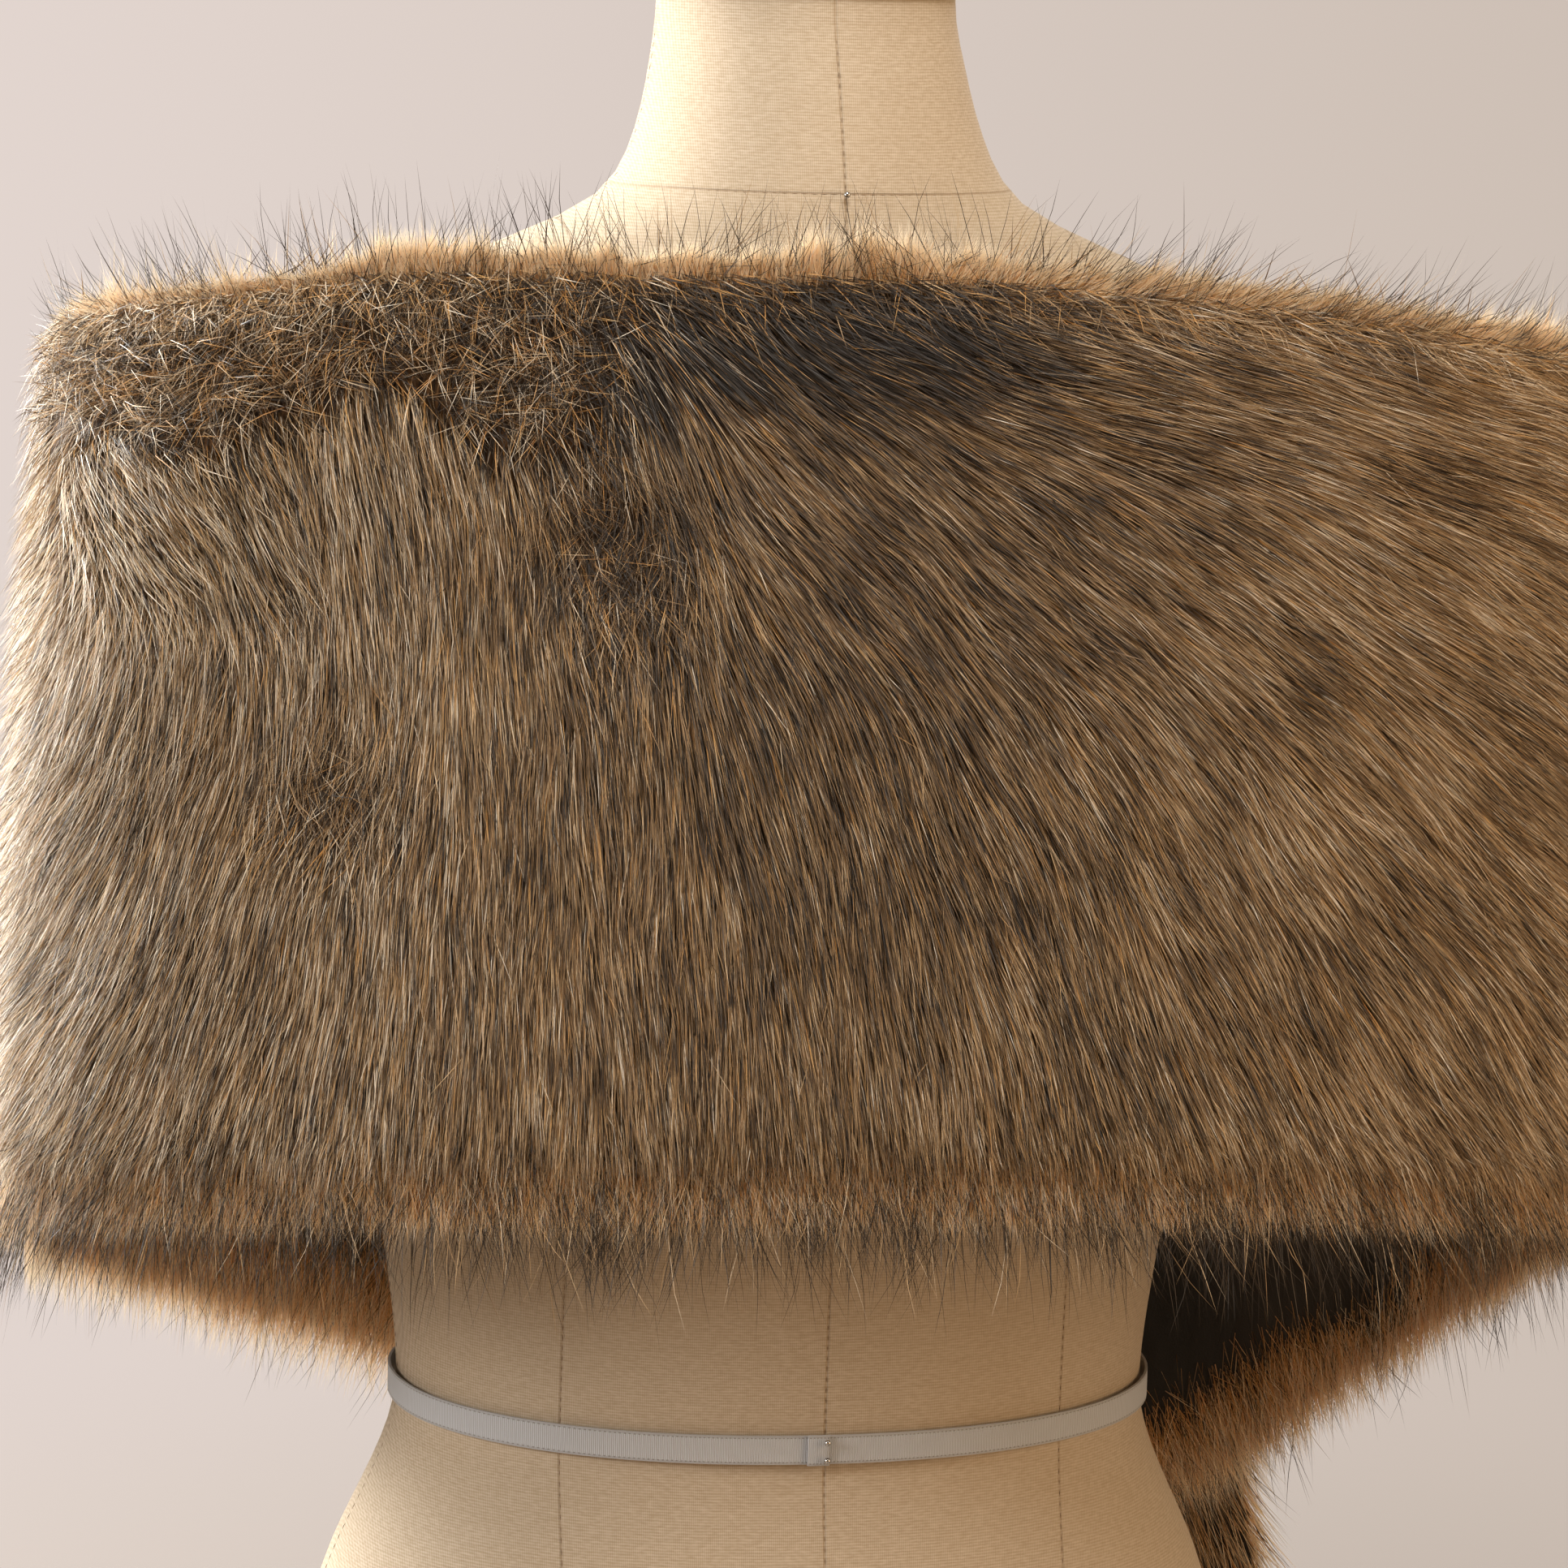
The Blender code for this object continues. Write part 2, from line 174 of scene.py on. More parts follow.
# ---------------------------------------------------------------- how the fur is combed
# Place, down, and how far the pile leans from straight down towards the form's right, in degrees.
COMB = [
    (0.275, 0.10, 20), (0.245, 0.17, 52), (0.215, 0.24, 46), (0.185, 0.27, 34),
    (0.245, 0.34, 8), (0.205, 0.38, 4), (0.165, 0.34, 4), (0.150, 0.22, 14),
    (0.275, 0.34, -11), (0.275, 0.60, -13), (0.275, 0.90, -9), (0.225, 0.52, -9),
    (0.180, 0.52, -8), (0.150, 0.50, -4), (0.225, 0.80, -9), (0.170, 0.80, -5),
    (0.110, 0.28, 4), (0.110, 0.55, 0), (0.110, 0.85, 0), (0.065, 0.16, 16),
    (0.065, 0.32, 6), (0.065, 0.55, 1), (0.065, 0.90, 0), (0.035, 0.10, 45),
    (0.016, 0.09, 62), (0.016, 0.22, 46), (0.016, 0.31, 35), (0.016, 0.49, 15),
    (0.016, 0.66, 5), (0.016, 0.90, 0), (-0.057, 0.09, 76), (-0.057, 0.31, 49),
    (-0.057, 0.49, 27), (-0.057, 0.66, 13), (-0.057, 0.93, 5), (-0.106, 0.09, 77),
    (-0.106, 0.31, 52), (-0.106, 0.58, 26), (-0.106, 0.86, 17), (-0.180, 0.10, 77),
    (-0.180, 0.31, 57), (-0.180, 0.53, 40), (-0.180, 0.84, 25), (-0.230, 0.12, 74),
    (-0.230, 0.40, 52), (-0.230, 0.85, 24), (-0.320, 0.10, 55), (-0.320, 0.50, 36),
    (-0.320, 0.90, 20), (-0.450, 0.50, 24), (-0.620, 0.50, 16), (0.330, 0.15, -6),
    (0.330, 0.50, -18), (0.330, 0.90, -14), (0.450, 0.50, -14), (0.620, 0.50, -8),
]

# Matted whorls on the crease: place, down, how wide each is, and how strong.
WHORLS = [
    (0.082, 0.23, 0.014, 0.7), (0.070, 0.30, 0.017, 0.6), (0.156, 0.52, 0.017, 0.7),
    (0.238, 0.69, 0.012, 0.4),
]

TUFTS_FROM, TUFTS_TO, TUFTS_DEEP = 0.055, 0.310, 0.155
EDGE_STEP = 0.149            # beyond this place the top edge is rolled outward

TONES = 0.88                 # strands below this U are guard hair, dark to pale
BRIGHT = (0.72, 0.895)       # the palest guard hair, and painted glints of light on the left
GOLDEN = (0.905, 0.930)      # underfur, gold, with a brown root that is painted shade deep in the pile
CREAM = (0.960, 0.985)       # the fringes' underfur, paler: partly its own pale colour, partly a painted glow of light shining through it
STRAND_SLIVER = 0.0035       # half the width a strand takes on the palette
CLUMP = 0.0075               # distance between the stars of hair in the tufted band
TOP_LOCK, HEM_LOCK = 0.0032, 0.004           # distance between the locks of the fringes
BACK_NEEDLES, SIDE_NEEDLES = 1.14, 2.1       # fine needles for each bent strand
UNDER_FROM, CREAM_FROM = (0.888, 0.896), (0.943, 0.949)  # where the palette turns to underfur


# ---------------------------------------------------------------- shapes as functions
def between(rows, at):
    """Each further column at values of the first one, on monotone cubics through the rows."""
    table = np.asarray(rows, float)
    keys, values = table[:, 0], table[:, 1:]
    at = np.clip(np.asarray(at, float), keys[0], keys[-1])
    i = np.clip(np.searchsorted(keys, at, side="right") - 1, 0, len(keys) - 2)
    span = np.diff(keys)
    rise = np.diff(values, axis=0) / span[:, None]
    together = rise[:-1] * rise[1:] > 0
    total = np.where(together, rise[:-1] + rise[1:], 1.0)
    slope = np.zeros_like(values)
    slope[1:-1] = np.where(together, 2 * rise[:-1] * rise[1:] / total, 0.0)
    t = ((at - keys[i]) / span[i])[..., None]
    made = (
        values[i] * (1 + 2 * t) * (1 - t) ** 2
        + values[i + 1] * t * t * (3 - 2 * t)
        + span[i][..., None] * (slope[i] * t * (1 - t) ** 2 - slope[i + 1] * t * t * (1 - t))
    )
    return np.moveaxis(made, -1, 0)


def squared(value, squareness):
    """A sine or cosine bent so that a circle becomes a rounded rectangle."""
    return np.sign(value) * np.abs(value) ** (2 / squareness)


def form_point(z, turn, outset=0.0):
    """Places on the form's level section at z; turn 0 is its left side, a quarter its back."""
    z, turn = np.broadcast_arrays(np.asarray(z, float), np.asarray(turn, float))
    half_width, middle, back, front, squareness = between(FORM, z)
    along = squared(np.sin(turn), squareness)
    reach = np.where(along > 0, back - middle, front + middle)
    x = (half_width + outset) * squared(np.cos(turn), squareness)
    return np.stack([x, middle + (reach + outset) * along, z], axis=-1)


def guide_line():
    """The guide line's places, X and Y, from past the left end round the back past the right."""
    turns = np.linspace(1.5 * math.pi + 1.4, -0.5 * math.pi - 1.4, GUIDE_STEPS)
    x = squared(np.cos(turns), GUIDE_SQUARENESS)
    y = squared(np.sin(turns), GUIDE_SQUARENESS)
    x *= np.where(x > 0, GUIDE_LEFT, GUIDE_RIGHT)
    y *= np.where(y > 0, GUIDE_BACK, GUIDE_FRONT)
    steps = np.hypot(np.diff(x), np.diff(y))
    place = np.concatenate([[0.0], np.cumsum(steps)])
    middle = np.interp(0.0, -(turns - 0.5 * math.pi), place)
    return place - middle, x, y


GUIDE = guide_line()


def on_guide(place, z, outward):
    """Points beside the guide line, that far outward from it."""
    nearby = 0.004
    x, y = (np.interp(place, GUIDE[0], axis) for axis in GUIDE[1:])
    ahead = [np.interp(place + nearby, GUIDE[0], axis) for axis in GUIDE[1:]]
    behind = [np.interp(place - nearby, GUIDE[0], axis) for axis in GUIDE[1:]]
    run_x, run_y = ahead[0] - behind[0], ahead[1] - behind[1]
    length = np.hypot(run_x, run_y)
    return np.stack([x - run_y / length * outward, y + run_x / length * outward, z], axis=-1)


def backing(place, down):
    """The stole's backing."""
    place, down = np.broadcast_arrays(np.asarray(place, float), np.asarray(down, float))
    z_top, z_hem, slant, top_out, hem_out, layer = between(STOLE, place)
    outward = layer + top_out * (1 - down) ** 2 + hem_out * down ** 2
    return on_guide(place + slant * (0.5 - down), z_top + (z_hem - z_top) * down, outward)


def tail_backing(side, down):
    """The tail's backing; side runs from -1 at its inner edge to 1 at the outer one."""
    side, down = np.broadcast_arrays(np.asarray(side, float), np.asarray(down, float))
    z, middle, half_width, _ = between(TAIL, down)
    past = np.maximum(down - 1, 0)
    return on_guide(middle + half_width * side, z - past * STRIP_WIDTH, TAIL_LAYER + 0 * z)


def skin(surface, a, b):
    """Points of a surface, its outward normals, and its steps along a and b."""
    step = 0.002
    along = (surface(a + step, b) - surface(a - step, b)) / (2 * step)
    across = (surface(a, b + step) - surface(a, b - step)) / (2 * step)
    normal = unit(np.cross(along, across))
    return surface(a, b), normal, along, across


def unit(vectors):
    return vectors / np.maximum(np.linalg.norm(vectors, axis=-1, keepdims=True), 1e-12)


def eased(value):
    value = np.clip(value, 0.0, 1.0)
    return value * value * (3 - 2 * value)


def rounded(distance):
    """The share of the pile's full height at a distance from a cut edge."""
    near = np.clip(distance / PILE_EDGE, 0.0, 1.0)
    return PILE_AT_EDGE + (1 - PILE_AT_EDGE) * np.sqrt(1 - (1 - near) ** 2)


def hump(value, middle, half):
    """1 at the middle and 0 from half away, with soft feet."""
    reach = np.minimum(np.abs(value - middle) / half, 1.0)
    return (1 - reach * reach) ** 2


def bell(value, middle, half):
    return np.exp(-(((value - middle) / half) ** 2))


def crease(place, down):
    """How far the pile sinks along the slanting crease across the left of the back."""
    start = np.array([CREASE_FROM[0], CREASE_FROM[1] * STRIP_WIDTH])
    run = np.array([CREASE_TO[0], CREASE_TO[1] * STRIP_WIDTH]) - start
    here = np.stack([place, down * STRIP_WIDTH], axis=-1) - start
    share = np.clip(here @ run / (run @ run), 0.0, 1.0)[..., None]
    distance = np.linalg.norm(here - run * share, axis=-1)
    return CREASE_DEPTH * np.exp(-((distance / CREASE_HALF) ** 2))


def pile(place, down):
    """The height of the fur over the stole's backing."""
    height = PILE + (PRESSED_PILE - PILE) * eased(
        (place - PRESSED_FROM) / PRESSED_OVER
    )
    height = height + ROLL_RISE * hump(place, ROLL_MIDDLE, ROLL_HALF) * hump(
        down * STRIP_WIDTH, ROLL_DEEP / 2, ROLL_DEEP
    )
    height = height + SIDE_RISE * bell(place, BACK_HALF, SIDE_SPREAD) * eased(
        (down - SIDE_FROM) / SIDE_OVER
    )
    to_edge = np.minimum(down, 1 - down) * STRIP_WIDTH
    to_end = np.minimum(LEFT_END - place, place - RIGHT_END)
    return (height - crease(place, down)) * rounded(to_edge) * rounded(to_end)


def tail_pile(side, down):
    _, _, half_width, height = between(TAIL, down)
    return height * rounded((1 - np.abs(side)) * half_width)


def ripple(seed, a, b, wide, long):
    """A smooth uneven field of about unit spread, its bumps that wide in a and long in b."""
    rng = np.random.default_rng(seed)
    total = np.zeros(np.broadcast(a, b).shape)
    for _ in range(14):
        way, pace, start = rng.uniform(0, math.tau), rng.uniform(0.55, 1.5), rng.uniform(0, 7)
        across = a * (math.cos(way) * pace * math.pi / wide)
        total += np.sin(across + b * (math.sin(way) * pace * math.pi / long) + start)
    return total / math.sqrt(7)


# ---------------------------------------------------------------- making objects
def new_object(name, mesh, looks):
    """An object of the part, at the origin, riding on the one body."""
    made = bpy.data.objects.new(name, mesh)
    bpy.context.scene.collection.objects.link(made)
    return dressed(made, looks)


def dressed(made, looks):
    """Gives a piece its finish and its body."""
    made.data.materials.clear()
    made.data.materials.append(finishes[looks])
    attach(made, "root")
    return made


def pick(made):
    """Selects one object alone and makes it the active one."""
    bpy.ops.object.select_all(action="DESELECT")
    made.select_set(True)
    bpy.context.view_layer.objects.active = made


def face_outward(made):
    """Turns every face of a closed mesh outward."""
    pick(made)
    bpy.ops.object.mode_set(mode="EDIT")
    bpy.ops.mesh.select_all(action="SELECT")
    bpy.ops.mesh.normals_make_consistent(inside=False)
    bpy.ops.object.mode_set(mode="OBJECT")


def primitive(name, adder, **settings):
    """A primitive added by itself, with nothing else selected."""
    bpy.ops.object.select_all(action="DESELECT")
    adder(**settings)
    made = bpy.context.view_layer.objects.active
    made.name = name
    made.data.name = name
    return made


def points_of(made):
    """A mesh's points as an array."""
    spots = np.empty(len(made.data.vertices) * 3, np.float32)
    made.data.vertices.foreach_get("co", spots)
    return spots.reshape(-1, 3).astype(float)


def place_points(made, spots):
    made.data.vertices.foreach_set("co", np.ascontiguousarray(spots, np.float32).ravel())
    made.data.update()


def select_edges(made, chosen):
    """Selects the edges for which chosen(one end, other end) holds, in edge mode."""
    bpy.ops.object.mode_set(mode="EDIT")
    bpy.ops.mesh.select_mode(type="EDGE")
    bpy.ops.mesh.select_all(action="DESELECT")
    bpy.ops.object.mode_set(mode="OBJECT")
    spots = made.data.vertices
    for edge in made.data.edges:
        first, second = (spots[i].co for i in edge.vertices)
        edge.select = bool(chosen(first, second))
    bpy.ops.object.mode_set(mode="EDIT")


def apply_place(made):
    """Puts the object at the origin, unturned and unscaled, with its place in its mesh."""
    pick(made)
    bpy.ops.object.transform_apply(location=True, rotation=True, scale=True)


def tube(name, segments, rings, fill="NGON"):
    """An upright tube of unit size, cut into rings, whose points are then placed."""
    made = primitive(
        name, bpy.ops.mesh.primitive_cylinder_add, vertices=segments, radius=1, depth=1,
        end_fill_type=fill,
    )
    if rings > 1:
        select_edges(made, lambda a, b: abs(a.z - b.z) > 0.5)
        bpy.ops.mesh.subdivide(number_cuts=rings - 1)
        bpy.ops.object.mode_set(mode="OBJECT")
    return made


def slab(name, segments, z_low, height, outline, bevel):
    """A level board of an outline given by turn, with rounded rims."""
    made = tube(name, segments, 1)
    spots = points_of(made)
    turn = np.arctan2(spots[:, 1], spots[:, 0])
    around = outline(turn)
    around[:, 2] = z_low + height * (spots[:, 2] + 0.5)
    place_points(made, around)
    select_edges(made, lambda a, b: abs(a.z - b.z) < 1e-6)
    bpy.ops.mesh.bevel(offset=bevel, segments=3, affect="EDGES", profile=0.5)
    bpy.ops.object.mode_set(mode="OBJECT")
    smooth(made)
    return made


def smooth(made, angle=40):
    pick(made)
    bpy.ops.object.shade_smooth_by_angle(angle=math.radians(angle))


def shell(name, looks, columns, rows, low, high):
    """A closed thin wall between two sheets, each a function of shares across and down."""
    across, down = np.meshgrid(
        np.linspace(0, 1, columns + 1), np.linspace(0, 1, rows + 1), indexing="ij"
    )
    spots = np.concatenate(
        [high(across, down).reshape(-1, 3), low(across, down).reshape(-1, 3)]
    )
    wide, half = rows + 1, (columns + 1) * (rows + 1)
    corner = (np.arange(columns)[:, None] * wide + np.arange(rows)[None, :]).ravel()
    upper = np.stack([corner, corner + 1, corner + wide + 1, corner + wide], axis=1)
    lower = upper[:, ::-1] + half
    rim = np.concatenate([
        np.arange(rows),
        np.arange(columns) * wide + rows,
        columns * wide + np.arange(rows, 0, -1),
        np.arange(columns, 0, -1) * wide,
    ])
    after = np.roll(rim, -1)
    side = np.stack([after, rim, rim + half, after + half], axis=1)
    faces = np.concatenate([upper, lower, side])
    mesh = bpy.data.meshes.new(name)
    mesh.from_pydata(spots.tolist(), [], faces.tolist())
    mesh.update()
    made = new_object(name, mesh, looks)
    face_outward(made)
    smooth(made, 60)
    return made


# ---------------------------------------------------------------- strands
Strands = namedtuple("Strands", "points sides tone shares")


def strands(surface, height_at, a, b, lean, travel, rise, width, twist, tone,
            bend=0.0, pull=None, shares=(0.0, 0.45, 1.0), widths=(0.85, 1.0), low=None):
    """Ribbons that lie along a surface.

    a, b are their roots, lean their heading from straight down towards minus a, travel how far
    they run along the surface, and rise a height at each share: of the pile, or in metres with
    low. bend turns the heading towards the tip, and pull draws the tips sideways.
    """
    _, _, along, across = skin(surface, a, b)
    per_a = np.maximum(np.linalg.norm(along, axis=-1), LEAST_PER_SIDE)
    per_b = np.maximum(np.linalg.norm(across, axis=-1), LEAST_PER_DOWN)
    spots, normals = [], []
    for k, share in enumerate(shares):
        way = lean + bend * share
        a_k = a - np.sin(way) * travel * share / per_a
        b_k = b + np.cos(way) * travel * share / per_b
        if pull is not None:
            a_k = a_k + pull[0] * share / per_a
            b_k = b_k + pull[1] * share / per_b
        spot, normal, _, _ = skin(surface, a_k, b_k)
        height = rise[k] if low is not None else rise[k] * height_at(a_k, b_k)
        spots.append(spot + normal * np.asarray(height)[..., None])
        normals.append(normal)
    points = np.stack(spots, axis=1)
    normal = np.stack(normals, axis=1)
    run = np.gradient(points, axis=1)
    flat = unit(np.cross(run, normal))
    up = unit(np.cross(flat, run))
    turn = np.asarray(twist)[:, None, None]
    sides = flat * np.cos(turn) + up * np.sin(turn)
    swell = np.array([*widths, *([widths[-1]] * (len(shares) - 1 - len(widths))), 0.0])
    sides = sides * (np.asarray(width)[:, None] * swell[None, :] / 2)[..., None]
    return Strands(points, sides, np.asarray(tone), np.asarray(shares))


def strand_piece(name, batches):
    """One piece of all the ribbons, each one quads with a triangle at its tip."""
    spots, corners, starts, uvs = [], [], [], []
    first, begun = 0, 0
    for batch in batches:
        count, stations = batch.points.shape[:2]
        if not count:
            continue
        left, right = batch.points - batch.sides, batch.points + batch.sides
        pairs = np.stack([left[:, :-1], right[:, :-1]], axis=2).reshape(count, -1, 3)
        spots.append(np.concatenate([pairs, batch.points[:, -1:]], axis=1).reshape(-1, 3))
        pattern, lengths = [], []
        for k in range(stations - 2):
            pattern += [2 * k, 2 * k + 1, 2 * k + 3, 2 * k + 2]
            lengths.append(4)
        last = 2 * (stations - 2)
        pattern += [last, last + 1, last + 2]
        lengths.append(3)
        each = 2 * stations - 1
        base = first + np.arange(count)[:, None] * each
        corners.append((base + np.array(pattern)).ravel())
        offsets = np.concatenate([[0], np.cumsum(lengths)[:-1]])
        loops = len(pattern)
        starts.append((begun + np.arange(count)[:, None] * loops + offsets).ravel())
        aside = np.array([-1.0, 1.0] * (stations - 1) + [0.0]) * STRAND_SLIVER
        share = np.append(np.repeat(batch.shares[:-1], 2), batch.shares[-1])
        share = 0.02 + 0.96 * share
        u = batch.tone[:, None] + aside[pattern]
        v = np.broadcast_to(share[pattern], u.shape)
        uvs.append(np.stack([u, v], axis=-1).reshape(-1, 2))
        first += count * each
        begun += count * loops
    spots, corners = np.concatenate(spots), np.concatenate(corners)
    starts, uvs = np.concatenate(starts), np.concatenate(uvs)
    mesh = bpy.data.meshes.new(name)
    mesh.vertices.add(len(spots))
    mesh.vertices.foreach_set("co", spots.astype(np.float32).ravel())
    mesh.loops.add(len(corners))
    mesh.loops.foreach_set("vertex_index", corners.astype(np.int32))
    mesh.polygons.add(len(starts))
    mesh.polygons.foreach_set("loop_start", starts.astype(np.int32))
    palette = mesh.uv_layers.new(name="OFBake")
    palette.data.foreach_set("uv", uvs.astype(np.float32).ravel())
    mesh.update(calc_edges=True)
    mesh.validate()
    mesh.shade_smooth()
    return new_object(name, mesh, "fur_strands")


def combed(place, down):
    """The lean of the pile, in radians, between the entries of the comb table."""
    weights = np.zeros(place.shape)
    total = np.zeros(place.shape)
    for at, deep, lean in COMB:
        far = ((place - at) / COMB_WIDE) ** 2 + ((down - deep) / COMB_DEEP) ** 2
        weight = 1 / (far + 0.02) ** 2
        weights += weight
        total += weight * math.radians(lean)
    return total / weights


def locks(place, down, spacing):
    """Each root's way to the middle of its lock, and the lock's own two chance values."""
    rng = np.random.default_rng(17)
    x = place + 0.5 * spacing * ripple(11, place, down, 3 * spacing, 0.05)
    i = np.floor(x / spacing).astype(int)
    j = np.floor(down * STRIP_WIDTH / (spacing * 2.6) + 0.5 * (i % 2)).astype(int)
    shape = (int(1.6 / spacing), int(0.6 / spacing))
    i_at, j_at = i + shape[0] // 2, j + shape[1] // 4
    middle = (rng.random(shape)[i_at, j_at] * 0.7 + 0.15 + i) * spacing
    chance = rng.normal(size=shape)[i_at, j_at]
    swing = rng.normal(size=shape)[i_at, j_at]
    return middle - x, chance, swing


def whorled(place, down):
    """1 in the middle of a matted whorl and 0 away from it."""
    total = np.zeros(place.shape)
    for at, deep, half, strength in WHORLS:
        far = ((place - at) / half) ** 2 + ((down - deep) * STRIP_WIDTH / half) ** 2
        total += strength * np.exp(-far)
    return np.minimum(total, 1.0)


def tufted(place, down):
    """1 in the rolled tufted band at the top of the back's left, and 0 away from it."""
    along = eased((place - TUFTS_FROM) / 0.05) * eased((TUFTS_TO - place) / 0.03)
    deep = TUFTS_DEEP + 0.02 * ripple(5, place, 0 * place, 0.03, 1)
    return along * eased((deep - down) / 0.05) * eased((down + 0.010) / 0.045)


def stars(place, down):
    """Each root's way from the middle of its clump, across and down, in metres."""
    rng = np.random.default_rng(29)
    i = np.floor(place / CLUMP).astype(int)
    j = np.floor(down * STRIP_WIDTH / CLUMP).astype(int)
    shape = (int(1.6 / CLUMP), int(0.6 / CLUMP), 2)
    chance = rng.uniform(0.15, 0.85, shape)[i + shape[0] // 2, j + shape[1] // 4]
    return place - (i + chance[..., 0]) * CLUMP, down * STRIP_WIDTH - (j + chance[..., 1]) * CLUMP


def toned(rng, place, down, lean, chance):
    """Each strand's tone, dark 0 to pale 1, by its place and its lock."""
    across = place * np.cos(lean) + down * STRIP_WIDTH * np.sin(lean)
    onward = down * STRIP_WIDTH * np.cos(lean) - place * np.sin(lean)
    patchy = 0.026 + 0.030 * eased((0.06 - place) / 0.14)
    left = eased((place - 0.09) / 0.07)
    # On the left the tones spread wider, partly standing in for glints of light.
    tone = 0.425 + (0.25 + 0.13 * left) * rng.normal(size=place.shape) + (0.07 + 0.02 * left) * chance
    tone += patchy * ripple(21, across, onward, 0.010, 0.030)
    tone += (0.075 + 0.02 * left) * ripple(22, across, onward, 0.0028, 0.022)
    # Painted light: the pile is lighter towards the left side, where the light falls, with a painted
    # highlight near the corner below the tufts.
    tone += 0.10 * left + 0.15 * eased((place - 0.200) / 0.05)
    tone += 0.16 * bell(place, 0.235, 0.035) * bell(down, 0.27, 0.09)
    # Painted light: lighter towards the far right, where a second light falls.
    tone += 0.08 * eased((-0.03 - place) / 0.14)
    # Painted shade: darker across the middle of the back, between the two lit sides.
    tone -= 0.12 * bell(place, 0.020, 0.090) * eased((0.85 - down) / 0.3)
    tone -= 0.13 * bell(place, 0.205, 0.050) * eased((down - 0.15) / 0.1)
    parting = bell(down, 0.045, 0.050) * eased((place + 0.06) / 0.05) * eased(
        (0.175 - place) / 0.04
    )
    tone -= 0.72 * parting * (rng.random(place.shape) < 0.86)
    tone -= 0.09 * bell(place, -0.012, 0.045) * bell(down, 0.085, 0.05)
    # Painted light: lighter at the top of the far left corner.
    tone += 0.14 * eased((place - 0.235) / 0.03) * eased((0.30 - down) / 0.1)
    tone -= 0.50 * whorled(place, down)
    # The tufted band is darker: partly its own dark hair, partly painted shade in the gaps between
    # its clumps.
    tone -= tufted(place, down) * (0.64 + 0.16 * ripple(23, place, down, 0.012, 0.05))
    return np.clip(tone, 0.0, 1.0) * TONES


def retoned(rng, tone, share, tones):
    """Gives that share of the strands another tone, between the two given."""
    chosen = rng.random(tone.shape) < share
    return np.where(chosen, rng.uniform(*tones, tone.shape), tone)


def field(rng, count, span, settings, needles=False):
    """The lying pile of one stretch between two places, of bent ribbons or of fine needles."""
    place = rng.uniform(*span, count)
    down = rng.uniform(-0.010, 0.935, count)
    aside, chance, swing = locks(place, down, settings.lock_spacing)
    tuft, whorl = tufted(place, down), whorled(place, down)
    flow = combed(place, down)
    lean = flow + math.radians(3) * ripple(31, place, down, 0.02, 0.10)
    lean += math.radians(1.1) * swing + math.radians(2.1) * rng.normal(size=count)
    loose = rng.random(count) < 0.022
    lean += np.where(loose, math.radians(15) * rng.normal(size=count), 0)
    verge = eased((0.045 - down) / 0.035)
    lean += (verge + eased((0.014 - down) / 0.02)) * math.radians(26) * rng.normal(size=count)
    lean += tuft * math.radians(30) * (
        rng.normal(size=count) + 0.7 * ripple(33, place, down, 0.010, 0.05)
    )
    off_x, off_y = stars(place, down)
    starry = tuft * (rng.random(count) < 0.75)
    place = place - 0.65 * starry * off_x
    down = np.clip(down - 0.65 * starry * off_y / STRIP_WIDTH, -0.010, 0.95)
    outward = np.arctan2(-off_x, off_y)
    lean = np.where(starry > 0.5, outward + math.radians(17) * rng.normal(size=count), lean)
    lean += whorl * math.radians(75) * rng.normal(size=count)
    travel = settings.pile_length * rng.uniform(0.72, 1.12, count)
    travel *= (1 - 0.38 * tuft) * (1 - 0.55 * whorl) * (1 - 0.35 * verge)
    edge = 0.972 + 0.030 * rng.normal(size=count)
    room = (edge - down) * STRIP_WIDTH / np.maximum(np.cos(lean), 0.25)
    travel = np.clip(travel, 0.007, np.maximum(room, 0.007))
    height = rng.uniform(0.58, 0.97, count) + tuft * rng.uniform(-0.35, 0.2, count)
    height += np.where(loose, 0.10, 0) + 0.12 * eased((place - 0.20) / 0.06) * rng.random(count)
    height *= 1 - 0.35 * whorl
    twist = np.clip(rng.normal(size=count) * math.radians(28), -1.1, 1.1)
    tone = toned(rng, place, down, flow, chance)
    # On the left a share of the strands take the palest tones as painted glints of light; in the
    # tufted band they are its pale hairs.
    tone = retoned(rng, tone, 0.20 * tuft + 0.075 * eased((place - 0.02) / 0.12), BRIGHT)
    tone = retoned(rng, tone, 0.045 + 0.12 * tuft + 0.06 * whorl + 0.05 * verge, GOLDEN)
    gather = 0.20 * aside * (1 - 0.6 * tuft)
    pull = (gather * np.cos(flow), gather * np.sin(flow))
    if needles:
        width = settings.needle_width * rng.uniform(0.7, 1.3, count)
        travel = travel * 0.66
        rise, shares, widths = (0.18 + 0 * height, height), (0.0, 1.0), (1.0,)
    else:
        width = settings.strand_width * rng.uniform(0.7, 1.25, count)
        rise = (0.10 + 0 * height, height * (0.66 + 0.24 * tuft), height)
        shares, widths = (0.0, 0.45, 1.0), (0.85, 1.0)
    bend = math.radians(2.2) * rng.normal(size=count)
    return strands(
        backing, pile, place, down, lean, travel, rise, width * (1 - 0.35 * tuft) * (
            1 - 0.50 * whorl), twist, tone, bend, pull, shares, widths,
    )


def fuzz(rng, count, settings, needles):
    """Width, twist, shares and widths for fringe strands."""
    twist = np.clip(rng.normal(size=count) * 0.6, -1.2, 1.2)
    if needles:
        return settings.fuzz_width * rng.uniform(0.7, 1.3, count), twist, (0.0, 1.0), (1.0,)
    width = settings.strand_width * rng.uniform(0.5, 0.85, count)
    return width, twist, (0.0, 0.45, 1.0), (0.9, 1.0)


def lift(out, foot, shares):
    """Heights of a fringe strand that leaves from its foot and ends at out."""
    return tuple(foot + (out - foot) * share ** 0.8 for share in shares)


